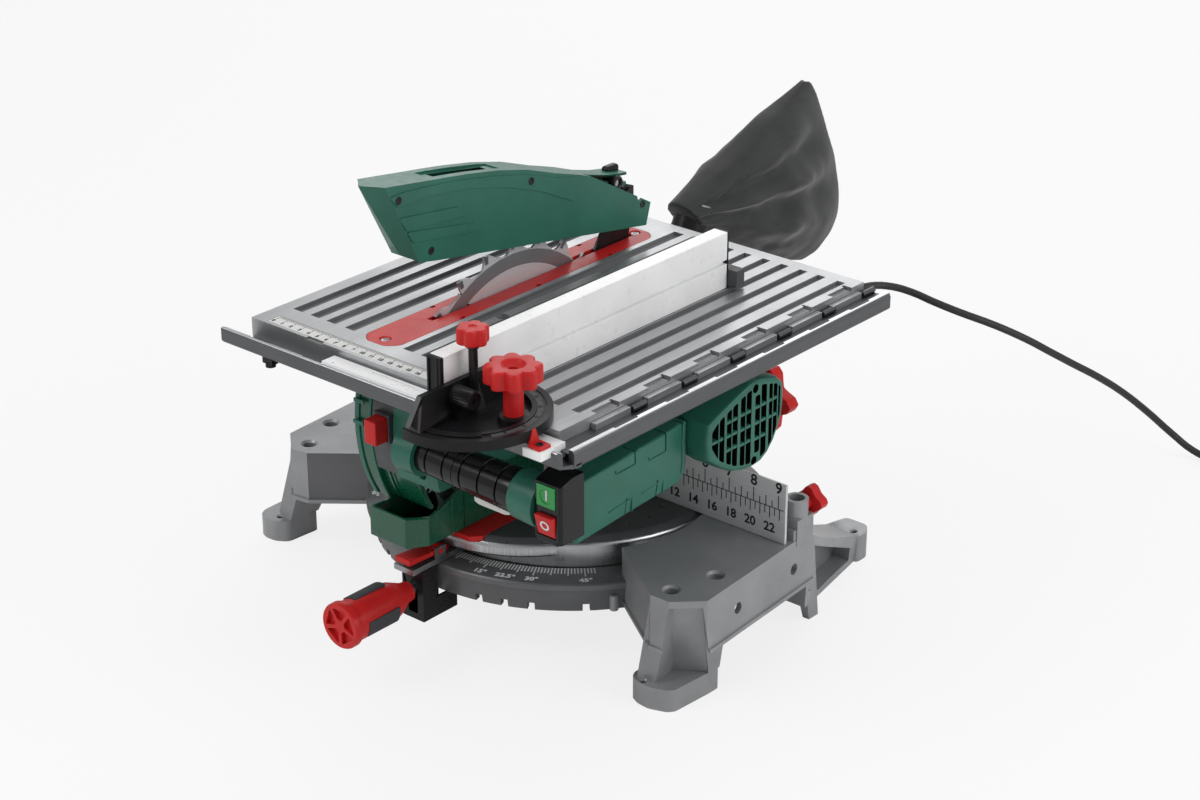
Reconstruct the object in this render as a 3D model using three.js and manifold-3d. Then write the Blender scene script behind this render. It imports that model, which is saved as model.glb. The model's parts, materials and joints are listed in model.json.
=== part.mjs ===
// Combination mitre saw: a motor head with a saw blade, hinged on a swivelling turntable,
// that carries a small saw table on its top. Millimetres.
// X runs to the operator's right, Y away from the operator and Z up.
// Sizes are written about the turntable's axis on the bench; the last lines move the origin
// to the middle of the object's footprint.

import * as THREE from 'three';
import { mergeVertices } from 'three/addons/utils/BufferGeometryUtils.js';
import Module from 'manifold-3d';

const wasm = await Module();
wasm.setup();

// Clearances and the overrun of cuts
const gap = 0.3;
const running = 0.06;
const over = 12;
const weld = 1e-4;

// Numbers of sides of round pieces
const finest = 48;
const fine = 28;
const round = 16;
const small = 10;

// The corner radius of a straight-sided bore that a round piece turns in
const bored = (radius, sides) => (radius + running) / Math.cos(Math.PI / sides);

// The main levels and axes
const bench = { top: 103.6, rimTop: 78.3, rimBottom: 50.8, floorTop: 70, floorBottom: 62 };
const gearing = { module: 1.75, pinionTeeth: 10, gearTeeth: 38, lean: 16.8 };
const spindle = { y: -74.2, z: 203, radius: 8, left: -5.8, right: 40 };
const disc = { radius: 149.5, bottom: 70.3, clear: 1.3 };
const hingeBehind = 0.5;
const hinge = { y: disc.radius + hingeBehind, z: 200, radius: 8, half: 34, eye: 15.5, lug: 19.7, ear: 32 };
const table = { top: 291.5, plate: 6, skirt: 262, wall: 3, left: -112, right: 216, front: -259.5, back: 120 };

const radians = (degrees) => degrees * Math.PI / 180;
const centres = gearing.module * (gearing.pinionTeeth + gearing.gearTeeth) / 2;
const motorY = spindle.y + centres * Math.cos(radians(gearing.lean));
const motorZ = spindle.z + centres * Math.sin(radians(gearing.lean));

// Materials
const paint = (colour, roughness, metalness = 0) => ({ color: colour, roughness, metalness });
const green = paint(0x2c6e60, 0.45);
const darkGreen = paint(0x14523c, 0.45);
const red = paint(0xe03a3a, 0.4);
const black = paint(0x1c1c1e, 0.5);
const graphite = paint(0x3d3f42, 0.6);
const castGrey = paint(0x5a5c60, 0.6, 0.2);
const lightGrey = paint(0xc4c6c8, 0.4, 0.5);
const aluminium = paint(0xb9bcc0, 0.35, 0.9);
const steel = paint(0xa0a4a8, 0.3, 0.95);
const cloth = paint(0x36383b, 0.95);
const rubber = paint(0x2e3034, 0.85);

// Joining and cutting

const axes = {
  x: [new THREE.Vector3(0, 1, 0), new THREE.Vector3(0, 0, 1), new THREE.Vector3(1, 0, 0)],
  y: [new THREE.Vector3(0, 0, 1), new THREE.Vector3(1, 0, 0), new THREE.Vector3(0, 1, 0)],
  z: [new THREE.Vector3(1, 0, 0), new THREE.Vector3(0, 1, 0), new THREE.Vector3(0, 0, 1)],
};

// A closed geometry as a solid, with flat slivers dropped and its faces turned outwards
function toSolid(geometry) {
  const plain = geometry.clone();
  plain.deleteAttribute('normal');
  plain.deleteAttribute('uv');
  const merged = mergeVertices(plain, weld);
  const points = merged.attributes.position.array;
  const corners = [];
  let volume = 0;
  const list = merged.index.array;
  for (let i = 0; i < list.length; i += 3) {
    const [a, b, c] = [list[i], list[i + 1], list[i + 2]];
    if (a === b || b === c || a === c) continue;
    corners.push(a, b, c);
    const p = new THREE.Vector3().fromArray(points, 3 * a);
    const q = new THREE.Vector3().fromArray(points, 3 * b);
    const r = new THREE.Vector3().fromArray(points, 3 * c);
    volume += p.dot(q.cross(r));
  }
  if (volume < 0) corners.reverse();
  return new wasm.Manifold(new wasm.Mesh({
    numProp: 3,
    vertProperties: new Float32Array(points),
    triVerts: new Uint32Array(corners),
  }));
}

// A solid as a geometry of flat faces
function toGeometry(solid) {
  const mesh = solid.getMesh();
  const geometry = new THREE.BufferGeometry();
  const points = new Float32Array(3 * mesh.numVert);
  for (let i = 0; i < mesh.numVert; i++) {
    for (let k = 0; k < 3; k++) points[3 * i + k] = mesh.vertProperties[i * mesh.numProp + k];
  }
  geometry.setAttribute('position', new THREE.BufferAttribute(points, 3));
  geometry.setIndex([...mesh.triVerts]);
  geometry.computeVertexNormals();
  return geometry;
}

const join = (first, ...rest) => rest.reduce((whole, next) => whole.add(next), first);
const cutAll = (first, ...rest) => rest.reduce((whole, next) => whole.subtract(next), first);

// An outline pushed along an axis. On x it is drawn in (y, z), on y in (x, z), on z in (x, y).
function prism(axis, outline, from, to) {
  const drawn = axis === 'y' ? outline.map(([x, z]) => [z, x]) : outline;
  const shape = new THREE.Shape(drawn.map(([u, v]) => new THREE.Vector2(u, v)));
  const geometry = new THREE.ExtrudeGeometry(shape, { depth: to - from, bevelEnabled: false });
  const turn = new THREE.Matrix4().makeBasis(...axes[axis]);
  const place = axes[axis][2].clone().multiplyScalar(from);
  geometry.applyMatrix4(turn.setPosition(place));
  return toSolid(geometry);
}

function box(x, y, z) {
  return prism('z', [[x[0], y[0]], [x[1], y[0]], [x[1], y[1]], [x[0], y[1]]], z[0], z[1]);
}

// A profile of (radius, height) turned about a line along an axis
function turned(axis, centre, profile, sides = round) {
  const points = [...profile, profile[0]].map(([r, h]) => new THREE.Vector2(r, h));
  const geometry = new THREE.LatheGeometry(points, sides);
  const along = axes[axis][2];
  const across = axes[axis][0];
  const third = new THREE.Vector3().crossVectors(across, along);
  geometry.applyMatrix4(new THREE.Matrix4().makeBasis(across, along, third));
  const offset = { x: [0, ...centre], y: [centre[0], 0, centre[1]], z: [...centre, 0] }[axis];
  geometry.translate(...offset);
  return toSolid(geometry);
}

function rod(axis, centre, radius, from, to, sides = round) {
  return turned(axis, centre, [[0, from], [radius, from], [radius, to], [0, to]], sides);
}

function tube(axis, centre, inner, outer, from, to, sides = round) {
  return turned(axis, centre, [[inner, from], [outer, from], [outer, to], [inner, to]], sides);
}

// The outline of part of a ring about a point, from one angle to another in degrees
function arcBand(centre, inner, outer, start, end, steps) {
  const at = (r, k) => {
    const angle = radians(start + (end - start) * k / steps);
    return [centre[0] + r * Math.cos(angle), centre[1] + r * Math.sin(angle)];
  };
  const rising = Array.from({ length: steps + 1 }, (_, k) => at(outer, k));
  const falling = Array.from({ length: steps + 1 }, (_, k) => at(inner, steps - k));
  return [...rising, ...falling];
}

function arcPoints(centre, radius, start, end, steps) {
  return arcBand(centre, 0, radius, start, end, steps).slice(0, steps + 1);
}

// Rings of as many points each, joined in turn and closed by flat ends
function skinned(rings) {
  const n = rings[0].length;
  const points = rings.flat(2);
  const corners = [];
  for (let k = 0; k + 1 < rings.length; k++) {
    for (let i = 0; i < n; i++) {
      const [a, b] = [k * n + i, k * n + (i + 1) % n];
      corners.push(a, b, b + n, a, b + n, a + n);
    }
  }
  const last = (rings.length - 1) * n;
  for (let i = 1; i + 1 < n; i++) {
    corners.push(0, i + 1, i, last, last + i, last + i + 1);
  }
  const geometry = new THREE.BufferGeometry();
  geometry.setAttribute('position', new THREE.Float32BufferAttribute(points, 3));
  geometry.setIndex(corners);
  return toSolid(geometry);
}

// A knob's outline with rounded lobes
function lobed(centre, tip, root, lobes, steps = 6) {
  const total = lobes * steps;
  return Array.from({ length: total }, (_, k) => {
    const angle = 2 * Math.PI * k / total;
    const r = root + (tip - root) * (1 + Math.cos(lobes * angle)) / 2;
    return [centre[0] + r * Math.cos(angle), centre[1] + r * Math.sin(angle)];
  });
}

// An outline drawn in by an even distance; its corners run anticlockwise
function drawnIn(outline, distance) {
  const n = outline.length;
  const line = (i) => {
    const [p, q] = [outline[i % n], outline[(i + 1) % n]];
    const length = Math.hypot(q[0] - p[0], q[1] - p[1]);
    const normal = [-(q[1] - p[1]) / length, (q[0] - p[0]) / length];
    return { normal, offset: normal[0] * p[0] + normal[1] * p[1] + distance };
  };
  return outline.map((_, i) => {
    const [a, b] = [line(i + n - 1), line(i)];
    const det = a.normal[0] * b.normal[1] - a.normal[1] * b.normal[0];
    const x = (a.offset * b.normal[1] - b.offset * a.normal[1]) / det;
    const y = (a.normal[0] * b.offset - b.normal[0] * a.offset) / det;
    return [x, y];
  });
}

const mirrored = (solid) => {
  const geometry = toGeometry(solid).scale(-1, 1, 1);
  return toSolid(geometry);
};

const spun = (solid, degrees) => {
  const geometry = toGeometry(solid).rotateZ(radians(degrees));
  return toSolid(geometry);
};

// The scene: one group for each set of pieces that moves together
const model = new THREE.Group();
const groups = {};
function group(name, parent = model) {
  groups[name] = new THREE.Group();
  parent.add(groups[name]);
  return groups[name];
}

function piece(name, solid, look, home, place = [0, 0, 0]) {
  const material = new THREE.MeshStandardMaterial(look);
  const mesh = new THREE.Mesh(toGeometry(solid), material);
  mesh.name = name;
  mesh.position.set(...place);
  home.add(mesh);
  return mesh;
}

// Base casting

const rim = { outer: 180, foot: 173.5, wall: 6, notch: 6, notchDepth: 7, notchReach: 14 };
const wing = {
  skirt: 55, wall: 5, rootX: 110,
  innerX: 137.5, innerY: -95.2, neckX: 141.5, neckY: -63,
  frontX: 205.9, frontY: -141.2, noseX: 224.8, noseY: -140.8,
  sideX: 246.3, sideY: -119.4, backX: 237, backY: 32,
  hole: 4.5, holeX: 213.2, holeY: -124.2, secondX: 225, secondY: -82.4,
};
const frontLeg = {
  top: 98, topInX: 200, topBackY: -82,
  footTop: 20, footInX: 186, footInY: -137, footNoseX: 203, footNoseY: -143.6,
  footOutX: 224, footOutY: -135, footSideX: 228.5, footBackY: -79, screw: 4, screwX: 196.2, screwY: -130,
};
const rearLeg = { inX: 214, outX: 237, frontY: 14, footInX: 204, footOutX: 226, footFrontY: 48, footBackY: 66 };
const strut = {
  inX: 178, outX: 222, bottom: 55, top: 96,
  footInX: 154, footOutX: 187, footY: 170, footLow: 8, footTop: 25,
  padInX: 151, padFrontY: 168, padNoseX: 158, padBackY: 194, padOutX: 188.5, padSideY: 178,
};
const socket = {
  x: 229.5, y: 18, outer: 9.5, bore: 6, top: 136, blockTop: 118,
  blockInX: 200, blockOutX: 238, blockFrontY: 3.5, blockBackY: 28,
};
const hub = { radius: 20, bottom: 55, bolt: 6, head: 26, headThick: 6 };
const ringInner = disc.radius + disc.clear;

const wingOutline = [
  [wing.rootX, wing.backY], [wing.rootX, wing.neckY], [wing.neckX, wing.neckY], [wing.innerX, wing.innerY],
  [wing.frontX, wing.frontY], [wing.noseX, wing.noseY], [wing.sideX, wing.sideY], [wing.backX, wing.backY],
];
const at = (points, z) => points.map(([x, y]) => [x, y, z]);
const footOutline = [
  [frontLeg.footInX, frontLeg.footInY], [frontLeg.footNoseX, frontLeg.footNoseY],
  [frontLeg.footOutX, frontLeg.footOutY], [frontLeg.footSideX, frontLeg.footBackY],
  [frontLeg.footInX, frontLeg.footBackY],
];
const legTop = [
  [frontLeg.topInX, wing.frontY + wing.wall], [wing.frontX, wing.frontY + gap], [wing.noseX, wing.noseY + gap],
  [wing.sideX - wing.wall, frontLeg.topBackY], [frontLeg.topInX, frontLeg.topBackY],
];
const rearTop = [
  [rearLeg.inX, rearLeg.frontY], [rearLeg.outX, rearLeg.frontY], [rearLeg.outX, wing.backY - gap],
  [rearLeg.inX, wing.backY - gap],
];
const rearFoot = [
  [rearLeg.footInX, rearLeg.footFrontY], [rearLeg.footOutX, rearLeg.footFrontY],
  [rearLeg.footOutX, rearLeg.footBackY], [rearLeg.footInX, rearLeg.footBackY],
];
const strutRoot = [
  [strut.inX, wing.backY - wing.wall, strut.bottom], [strut.outX, wing.backY - wing.wall, strut.bottom],
  [strut.outX, wing.backY - wing.wall, strut.top], [strut.inX, wing.backY - wing.wall, strut.top],
];
const strutFoot = [
  [strut.footInX, strut.footY, strut.footLow], [strut.footOutX, strut.footY, strut.footLow],
  [strut.footOutX, strut.footY, strut.footTop], [strut.footInX, strut.footY, strut.footTop],
];
const padOutline = [
  [strut.padInX, strut.padFrontY], [strut.padOutX, strut.padFrontY], [strut.padOutX, strut.padSideY],
  [strut.padOutX - strut.footLow, strut.padBackY], [strut.padNoseX, strut.padBackY],
];

function wingBody() {
  const body = prism('z', wingOutline, wing.skirt, bench.top);
  const hollow = prism('z', drawnIn(wingOutline, wing.wall), wing.skirt - over, bench.top - wing.wall);
  const kept = rod('z', [0, 0], ringInner + wing.wall, wing.skirt - over, bench.top, finest);
  return body.subtract(hollow.subtract(kept));
}

function rightSide() {
  const leg = skinned([at(footOutline, frontLeg.footTop - gap), at(legTop, frontLeg.top)]);
  const foot = prism('z', footOutline, 0, frontLeg.footTop);
  const rear = skinned([at(rearFoot, 0), at(rearTop, bench.top - wing.wall)]);
  const arm = skinned([strutRoot, strutFoot]);
  const pad = prism('z', padOutline, 0, strut.footTop);
  const whole = join(wingBody(), leg, foot, rear, arm, pad);
  const hole = (x, y) => rod('z', [x, y], wing.hole, bench.top - over, bench.top + over, small);
  const screw = rod('z', [frontLeg.screwX, frontLeg.screwY], frontLeg.screw, -over, frontLeg.footTop - wing.wall,
    small);
  return cutAll(whole, hole(wing.holeX, wing.holeY), hole(wing.secondX, wing.secondY), screw);
}

const rimProfile = [
  [bored(hub.radius, finest), bench.floorBottom], [rim.foot - rim.wall, bench.floorBottom],
  [rim.foot - rim.wall, bench.rimBottom], [rim.foot, bench.rimBottom], [rim.outer, bench.rimTop],
  [ringInner, bench.rimTop], [ringInner, bench.floorTop], [bored(hub.radius, finest), bench.floorTop],
];
const notchAngles = [-45, -30, -22.5, -15, 0, 15, 22.5, 30, 45];
const notchBox = box(
  [-rim.notch / 2, rim.notch / 2], [-rim.outer, rim.notchReach - rim.outer],
  [bench.rimBottom - over, bench.rimBottom + rim.notchDepth],
);

const side = rightSide();
const socketBlock = box([socket.blockInX, socket.blockOutX], [socket.blockFrontY, socket.blockBackY],
  [bench.top - wing.wall, socket.blockTop]);
const socketTube = rod('z', [socket.x, socket.y], socket.outer, bench.top - wing.wall, socket.top);
const socketBore = rod('z', [socket.x, socket.y], socket.bore, wing.skirt - over, socket.top + over, small);
const sockets = join(socketBlock, socketTube);
const well = rod('z', [0, 0], ringInner, bench.floorTop, bench.top + over, finest);
let baseBody = join(side, sockets, mirrored(join(side, sockets))).subtract(well);
baseBody = baseBody.add(turned('z', [0, 0], rimProfile, finest));
// Room for the turntable's front bulge to swing between the wings
const bulge = { y: -55, radius: 110, bottom: 88, flat: 103, soft: 2 };
const bulgeWay = rod('z', [0, bulge.y], bored(bulge.radius + disc.clear, fine), bulge.bottom - disc.clear,
  bench.top + over, fine);
baseBody = cutAll(baseBody, ...[-48, -36, -24, 24, 36, 48].map((a) => spun(bulgeWay, a)));
baseBody = cutAll(baseBody, socketBore, mirrored(socketBore), ...notchAngles.map((a) => spun(notchBox, a)));
const clampKnob = { screw: 2.5, head: 4.5, z: 126, hubEnd: 6, lobeEnd: 15, tip: 14, root: 10, lobes: 4 };
const socketThread = rod('y', [socket.x, clampKnob.z], bored(clampKnob.screw, small), socket.y, socket.y + over,
  small);
baseBody = cutAll(baseBody, socketThread, mirrored(socketThread));
const baseGroup = group('base');
piece('base_casting', baseBody, castGrey, baseGroup);

// Fence: two plates with feet, joined behind the blade by a bow
const fence = {
  half: 236, mouth: 14, front: -6.2, back: -3.4, top: 157.4, footBack: 14, footTop: 110,
  footIn: 48, footOut: 196, bowBack: 46, bowFront: 38, bowTop: 124, ribThick: 4, ribTop: 148,
};
const ribShares = [0.42, 0.62, 0.8];
const fenceLow = bench.top + gap;
const fenceHalf = join(
  box([fence.mouth, fence.half], [fence.front, fence.back], [fenceLow, fence.top]),
  box([fence.footIn, fence.footOut], [fence.back, fence.footBack], [fenceLow, fence.footTop]),
  box([fence.footIn, fence.footIn + fence.footBack], [fence.back, fence.bowBack], [fenceLow, fence.bowTop]),
  box([0, fence.footIn + fence.footBack], [fence.bowFront, fence.bowBack], [fenceLow, fence.bowTop]),
  ...ribShares.map((share) => prism('x',
    [[fence.back, fence.footTop], [fence.footBack, fence.footTop], [fence.back, fence.ribTop]],
    share * fence.half, share * fence.half + fence.ribThick)),
);
piece('fence', fenceHalf.add(mirrored(fenceHalf)), aluminium, baseGroup);

const knobHome = group('socket_knob', baseGroup);
const knobStart = socket.y + socket.outer + gap;
const socketKnob = join(
  rod('y', [0, 0], clampKnob.screw, socket.y + socket.bore + gap, knobStart + gap, small),
  rod('y', [0, 0], clampKnob.head, knobStart, knobStart + clampKnob.hubEnd, small),
  prism('y', lobed([0, 0], clampKnob.tip, clampKnob.root, clampKnob.lobes), knobStart + clampKnob.hubEnd - gap,
    knobStart + clampKnob.lobeEnd),
);
piece('socket_knob', socketKnob, red, knobHome, [socket.x, 0, clampKnob.z]);

// Turntable with its front arm and rear lug
const edge = { flat: 141.5, bevelZ: 99.5, lowZ: 96, foot: 148 };
const kerf = { half: 38, front: -163, cornerIn: 8, thick: 5, slot: 3, slotFront: -158, slotBack: 9, back: 14 };
const bladeWay = { half: 5, shallowFront: -156, shallowZ: 90, deepFront: -137, deepBack: -10, deepZ: 73.5 };
const shell = { inner: 27, edgeWall: 10.5, top: 95, spine: 9.5 };
// The arm's places ahead of the bulge, and how far it roots in the disc
const bulgeFront = bulge.y - bulge.radius;
const armReach = { front: 45, earFront: 18, earBack: 6, pin: 12, root: 9.5 };
const arm = {
  half: 11, front: bulgeFront - armReach.front, back: armReach.root - disc.radius, bottom: 79, top: 84,
  earInner: 8.6, earFront: bulgeFront - armReach.earFront, earBack: bulgeFront - armReach.earBack, earTop: 93.5,
  pinY: bulgeFront - armReach.pin, pinZ: 89.5, pin: 2.4,
};
const lugReach = { inside: 37.5, outside: 18.5 };
const lug = {
  left: -42, right: 71, front: disc.radius - lugReach.inside, back: disc.radius + lugReach.outside, bottom: 82,
  sector: 69, slotRadius: 58.6, slotHalf: 5.5, slotFrom: 2, slotTo: 57, step: 104,
};
const bevelPin = { radius: 10, head: 14, headThick: 5, depth: 16 };
const pinStart = lug.front + bevelPin.depth;

const discProfile = [
  [0, disc.bottom], [edge.foot, disc.bottom], [disc.radius, disc.bottom + bulge.soft], [disc.radius, edge.lowZ],
  [disc.radius - bulge.soft, edge.bevelZ], [edge.flat, bench.top], [0, bench.top],
];
const bulgeProfile = [
  [0, bulge.bottom], [bulge.radius - bulge.soft, bulge.bottom], [bulge.radius, bulge.bottom + bulge.soft],
  [bulge.radius, edge.lowZ], [bulge.radius - bulge.soft, edge.bevelZ], [bulge.flat, bench.top], [0, bench.top],
];
const lugSector = [
  [lug.left, lug.bottom], [lug.right, lug.bottom],
  ...arcPoints([0, bench.top], lug.sector, 0, 80, 10), [-lug.sector / 4, bench.top + lug.sector / 2],
  [lug.left, lug.step],
];
const kerfOutline = (inset) => [
  [-kerf.half - inset, kerf.back + inset], [-kerf.half - inset, kerf.front + kerf.cornerIn],
  [-kerf.half + kerf.cornerIn - inset, kerf.front - inset], [kerf.half - kerf.cornerIn + inset, kerf.front - inset],
  [kerf.half + inset, kerf.front + kerf.cornerIn], [kerf.half + inset, kerf.back + inset],
];
const ear = box([arm.earInner, arm.half], [arm.earFront, arm.earBack], [arm.top - gap, arm.earTop]);
let discBody = join(
  turned('z', [0, 0], discProfile, finest),
  turned('z', [0, bulge.y], bulgeProfile, finest),
  rod('z', [0, 0], hub.radius, hub.bottom, disc.bottom + bulge.soft, fine),
  box([-arm.half, arm.half], [arm.front, arm.back], [arm.bottom, arm.top]),
  ear, mirrored(ear),
  prism('y', lugSector, lug.front, lug.back),
);
const undercut = tube('z', [0, 0], shell.inner, disc.radius - shell.edgeWall, disc.bottom - over, shell.top, fine)
  .subtract(box([-shell.spine, shell.spine], [-disc.radius, disc.radius], [0, bench.top]))
  .subtract(box([-disc.radius, disc.radius], [lug.front - over, disc.radius], [0, bench.top]));
discBody = cutAll(discBody,
  undercut,
  prism('z', kerfOutline(gap), bench.top - kerf.thick - gap, bench.top + over),
  box([-bladeWay.half, bladeWay.half], [bladeWay.shallowFront, kerf.slotBack], [bladeWay.shallowZ, bench.top]),
  box([-bladeWay.half, bladeWay.half], [bladeWay.deepFront, bladeWay.deepBack], [bladeWay.deepZ, bench.top]),
  rod('z', [0, 0], hub.bolt + gap, hub.bottom - over, bladeWay.deepZ - bulge.soft, round),
  rod('y', [0, bench.top], bevelPin.radius + running, pinStart, lug.back + over, round),
  prism('y', arcBand([0, bench.top], lug.slotRadius - lug.slotHalf, lug.slotRadius + lug.slotHalf,
    lug.slotFrom, lug.slotTo, 10), lug.front - over, lug.back + over),
  rod('x', [arm.pinY, arm.pinZ], bored(arm.pin, small), -arm.half - over, arm.half + over, small),
);
const turnGroup = group('turntable');
piece('turntable', discBody, paint(0x4a4b4d, 0.5, 0.3), turnGroup);

const pivotBolt = join(
  rod('z', [0, 0], hub.bolt, hub.bottom - hub.headThick, bladeWay.deepZ - bulge.soft - gap, round),
  rod('z', [0, 0], hub.head, hub.bottom - gap - hub.headThick, hub.bottom - gap, round),
);
piece('pivot_bolt', pivotBolt, steel, turnGroup);

const kerfPlate = prism('z', kerfOutline(0), bench.top - kerf.thick, bench.top)
  .subtract(box([-kerf.slot, kerf.slot], [kerf.slotFront, kerf.slotBack], [0, bench.top + over]));
piece('kerf_insert', kerfPlate, red, turnGroup);

// Bracket under the arm's front end, round the rim
const bracket = { half: 12, sheet: 2.5, front: -200, faceBack: -196, wingBack: -184, tailBack: -160, bottom: 32,
  tailTop: 49.5, bore: 5, rodZ: 60, window: 5, windowLow: 38 };
const bracketTop = arm.bottom - gap;
const cheekOutline = [
  [bracket.front, bracket.bottom], [bracket.tailBack, bracket.bottom], [bracket.tailBack, bracket.tailTop],
  [bracket.wingBack, bracket.tailTop], [bracket.wingBack, bracketTop], [bracket.front, bracketTop],
];
const cheek = prism('x', cheekOutline, bracket.half - bracket.sheet, bracket.half);
const bracketBody = join(
  box([-bracket.half, bracket.half], [bracket.front, bracket.faceBack], [bracket.bottom, bracketTop]),
  cheek, mirrored(cheek),
);
piece('front_bracket', bracketBody.subtract(
  rod('y', [0, bracket.rodZ], bored(bracket.bore, small), bracket.front - over, bracket.wingBack, small),
).subtract(
  box([-bracket.window, bracket.window], [bracket.front - over, bracket.wingBack],
    [bracket.windowLow, bracket.windowLow + bracket.window * 2]),
), black, turnGroup);

const tick = { half: 7, clear: 0.7, length: 15.8, thick: 2.5 };
const tickTip = -disc.radius - tick.clear;
const tickFront = tickTip - tick.length;
piece('angle_pointer', prism('z', [[-tick.half, tickFront], [tick.half, tickFront], [0, tickTip]],
  arm.top + gap, arm.top + tick.thick), red, turnGroup);

// Lower guard box in front of the blade
const guardBox = {
  left: -34, right: 18, front: -213, back: -55, cornerX: 8, leftCornerX: 5, cornerY: 8, wall: 2.4,
  frontTop: 129, stepY: -202, stepTop: 131, midY: -183, midTop: 140.5, highY: -166, highTop: 154,
  peakY: -155, peakTop: 156, backY: -140, backTop: 150, floorBack: -163, floorThick: 2.4,
  leftTop: 127, leftStepY: -186, leftMidY: -172, leftMidTop: 142,
};
const boxPlan = [
  [guardBox.left, guardBox.back], [guardBox.left, guardBox.front + guardBox.cornerY],
  [guardBox.left + guardBox.leftCornerX, guardBox.front], [guardBox.right - guardBox.cornerX, guardBox.front],
  [guardBox.right, guardBox.front + guardBox.cornerY], [guardBox.right, guardBox.back],
];
const boxProfile = [
  [guardBox.front - over, 0], [guardBox.back + over, 0], [guardBox.back + over, guardBox.backTop],
  [guardBox.backY, guardBox.backTop], [guardBox.peakY, guardBox.peakTop], [guardBox.highY, guardBox.highTop],
  [guardBox.midY, guardBox.midTop], [guardBox.stepY, guardBox.stepTop], [guardBox.front - over, guardBox.frontTop],
];
const leftAway = [
  [guardBox.front + guardBox.cornerY, guardBox.leftTop], [guardBox.leftStepY, guardBox.leftTop],
  [guardBox.leftMidY, guardBox.leftMidTop], [guardBox.back + over, guardBox.leftMidTop],
  [guardBox.back + over, bench.top * 2], [guardBox.front + guardBox.cornerY, bench.top * 2],
];
const boxTop = bench.top + gap;
const wallRing = prism('z', boxPlan, boxTop, guardBox.peakTop + over)
  .subtract(prism('z', drawnIn(boxPlan, guardBox.wall), 0, bench.top * 3))
  .subtract(box([guardBox.left + guardBox.wall, guardBox.right - guardBox.wall],
    [guardBox.back - over, guardBox.back + over], [0, bench.top * 3]));
const boxFloor = prism('z', boxPlan, boxTop, boxTop + guardBox.floorThick)
  .subtract(box([guardBox.left * 2, guardBox.right * 2], [guardBox.floorBack, 0], [0, bench.top * 2]));
const walls = wallRing.intersect(prism('x', boxProfile, guardBox.left - over, guardBox.right + over));
const boxBody = join(walls, boxFloor)
  .subtract(prism('x', leftAway, guardBox.left - over, guardBox.left + over));
piece('lower_box', boxBody, darkGreen, turnGroup);

// Bevel arm with the clevis of the chop hinge
const armPlate = { thick: 21.7, earFront: 16, earNose: 13.3 };
const bevel = {
  front: lug.back + gap, back: lug.back + gap + armPlate.thick, left: -36, right: 40, low: 82, wingX: 76,
  wingLow: 88, wingTop: 134, shoulder: 142,
  half: 32, top: 224, knobX: 58, knobZ: 112, screw: 5, earFront: hinge.y - armPlate.earFront,
  earNose: hinge.y - armPlate.earNose, earLow: 176, earMid: 188, earTop: 217,
};
const armOutline = [
  [bevel.left, bevel.low], [bevel.right, bevel.low], [bevel.wingX, bevel.wingLow], [bevel.wingX, bevel.wingTop],
  [bevel.half, bevel.shoulder], [bevel.half, bevel.top], [-bevel.half, bevel.top], [-bevel.half, bevel.shoulder],
  [bevel.left, bench.top],
];
const earOutline = [
  [bevel.front + gap, bevel.earLow], [bevel.front + gap, bevel.earTop], [hinge.y, bevel.earTop],
  [bevel.earNose, hinge.z + hinge.radius], [bevel.earFront, hinge.z], [hinge.y - hinge.radius, bevel.earMid],
];
const hingeEar = prism('x', earOutline, hinge.lug + gap * 2, hinge.ear);
const armBody = cutAll(
  join(prism('y', armOutline, bevel.front, bevel.back), hingeEar, mirrored(hingeEar)),
  rod('y', [0, bench.top], bevelPin.radius + running, bevel.front - over, bevel.back + over, round),
  rod('y', [bevel.knobX, bevel.knobZ], bored(bevel.screw, small), bevel.front - over, bevel.back + over, small),
  rod('x', [hinge.y, hinge.z], hinge.radius + running, -hinge.ear - over, hinge.ear + over, round),
);
piece('bevel_arm', armBody, castGrey, turnGroup);

const bevelPinBody = join(
  rod('y', [0, 0], bevelPin.radius, pinStart + gap, bevel.back + bevelPin.headThick, round),
  rod('y', [0, 0], bevelPin.head, bevel.back + gap, bevel.back + bevelPin.headThick, round),
);
piece('bevel_pin', bevelPinBody, steel, turnGroup, [0, 0, bench.top]);
piece('chop_shaft', rod('x', [0, 0], hinge.radius, -hinge.half, hinge.half, round), steel, turnGroup,
  [0, hinge.y, hinge.z]);

const bevelKnob = { hub: 12, hubEnd: 3, starEnd: 17, tip: 34, root: 21, screwDepth: 20 };
const bevelStart = bevel.back + gap;
const bevelStar = join(
  rod('y', [0, 0], bevel.screw, lug.front + bevelKnob.screwDepth, bevelStart + gap, small),
  rod('y', [0, 0], bevelKnob.hub, bevelStart, bevelStart + bevelKnob.hubEnd + gap, round),
  prism('y', lobed([0, 0], bevelKnob.tip, bevelKnob.root, 5), bevelStart + bevelKnob.hubEnd,
    bevelStart + bevelKnob.starEnd),
);
piece('bevel_knob', bevelStar, red, group('bevel_knob', turnGroup), [bevel.knobX, 0, bevel.knobZ]);

// Detent lever between the ears of the front arm
const leverReach = { front: 46, back: 8.5, dip: 21 };
const lever = {
  front: bulgeFront - leverReach.front, tipLow: 87.5, tipTop: 92.5, half: 8.3,
  backY: bulgeFront - leverReach.back, backLow: 86.5, backTop: 92.5, dipY: bulgeFront - leverReach.dip, dipTop: 90.5,
};
const leverBody = join(
  prism('x', [[lever.front, lever.tipLow], [lever.backY, lever.backLow], [lever.backY, lever.backTop],
    [lever.dipY, lever.dipTop], [lever.front, lever.tipTop]], -lever.half, lever.half),
  rod('x', [arm.pinY, arm.pinZ], arm.pin, -arm.half, arm.half, small),
);
piece('detent_lever', leverBody, red, group('detent_lever', turnGroup));

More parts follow.
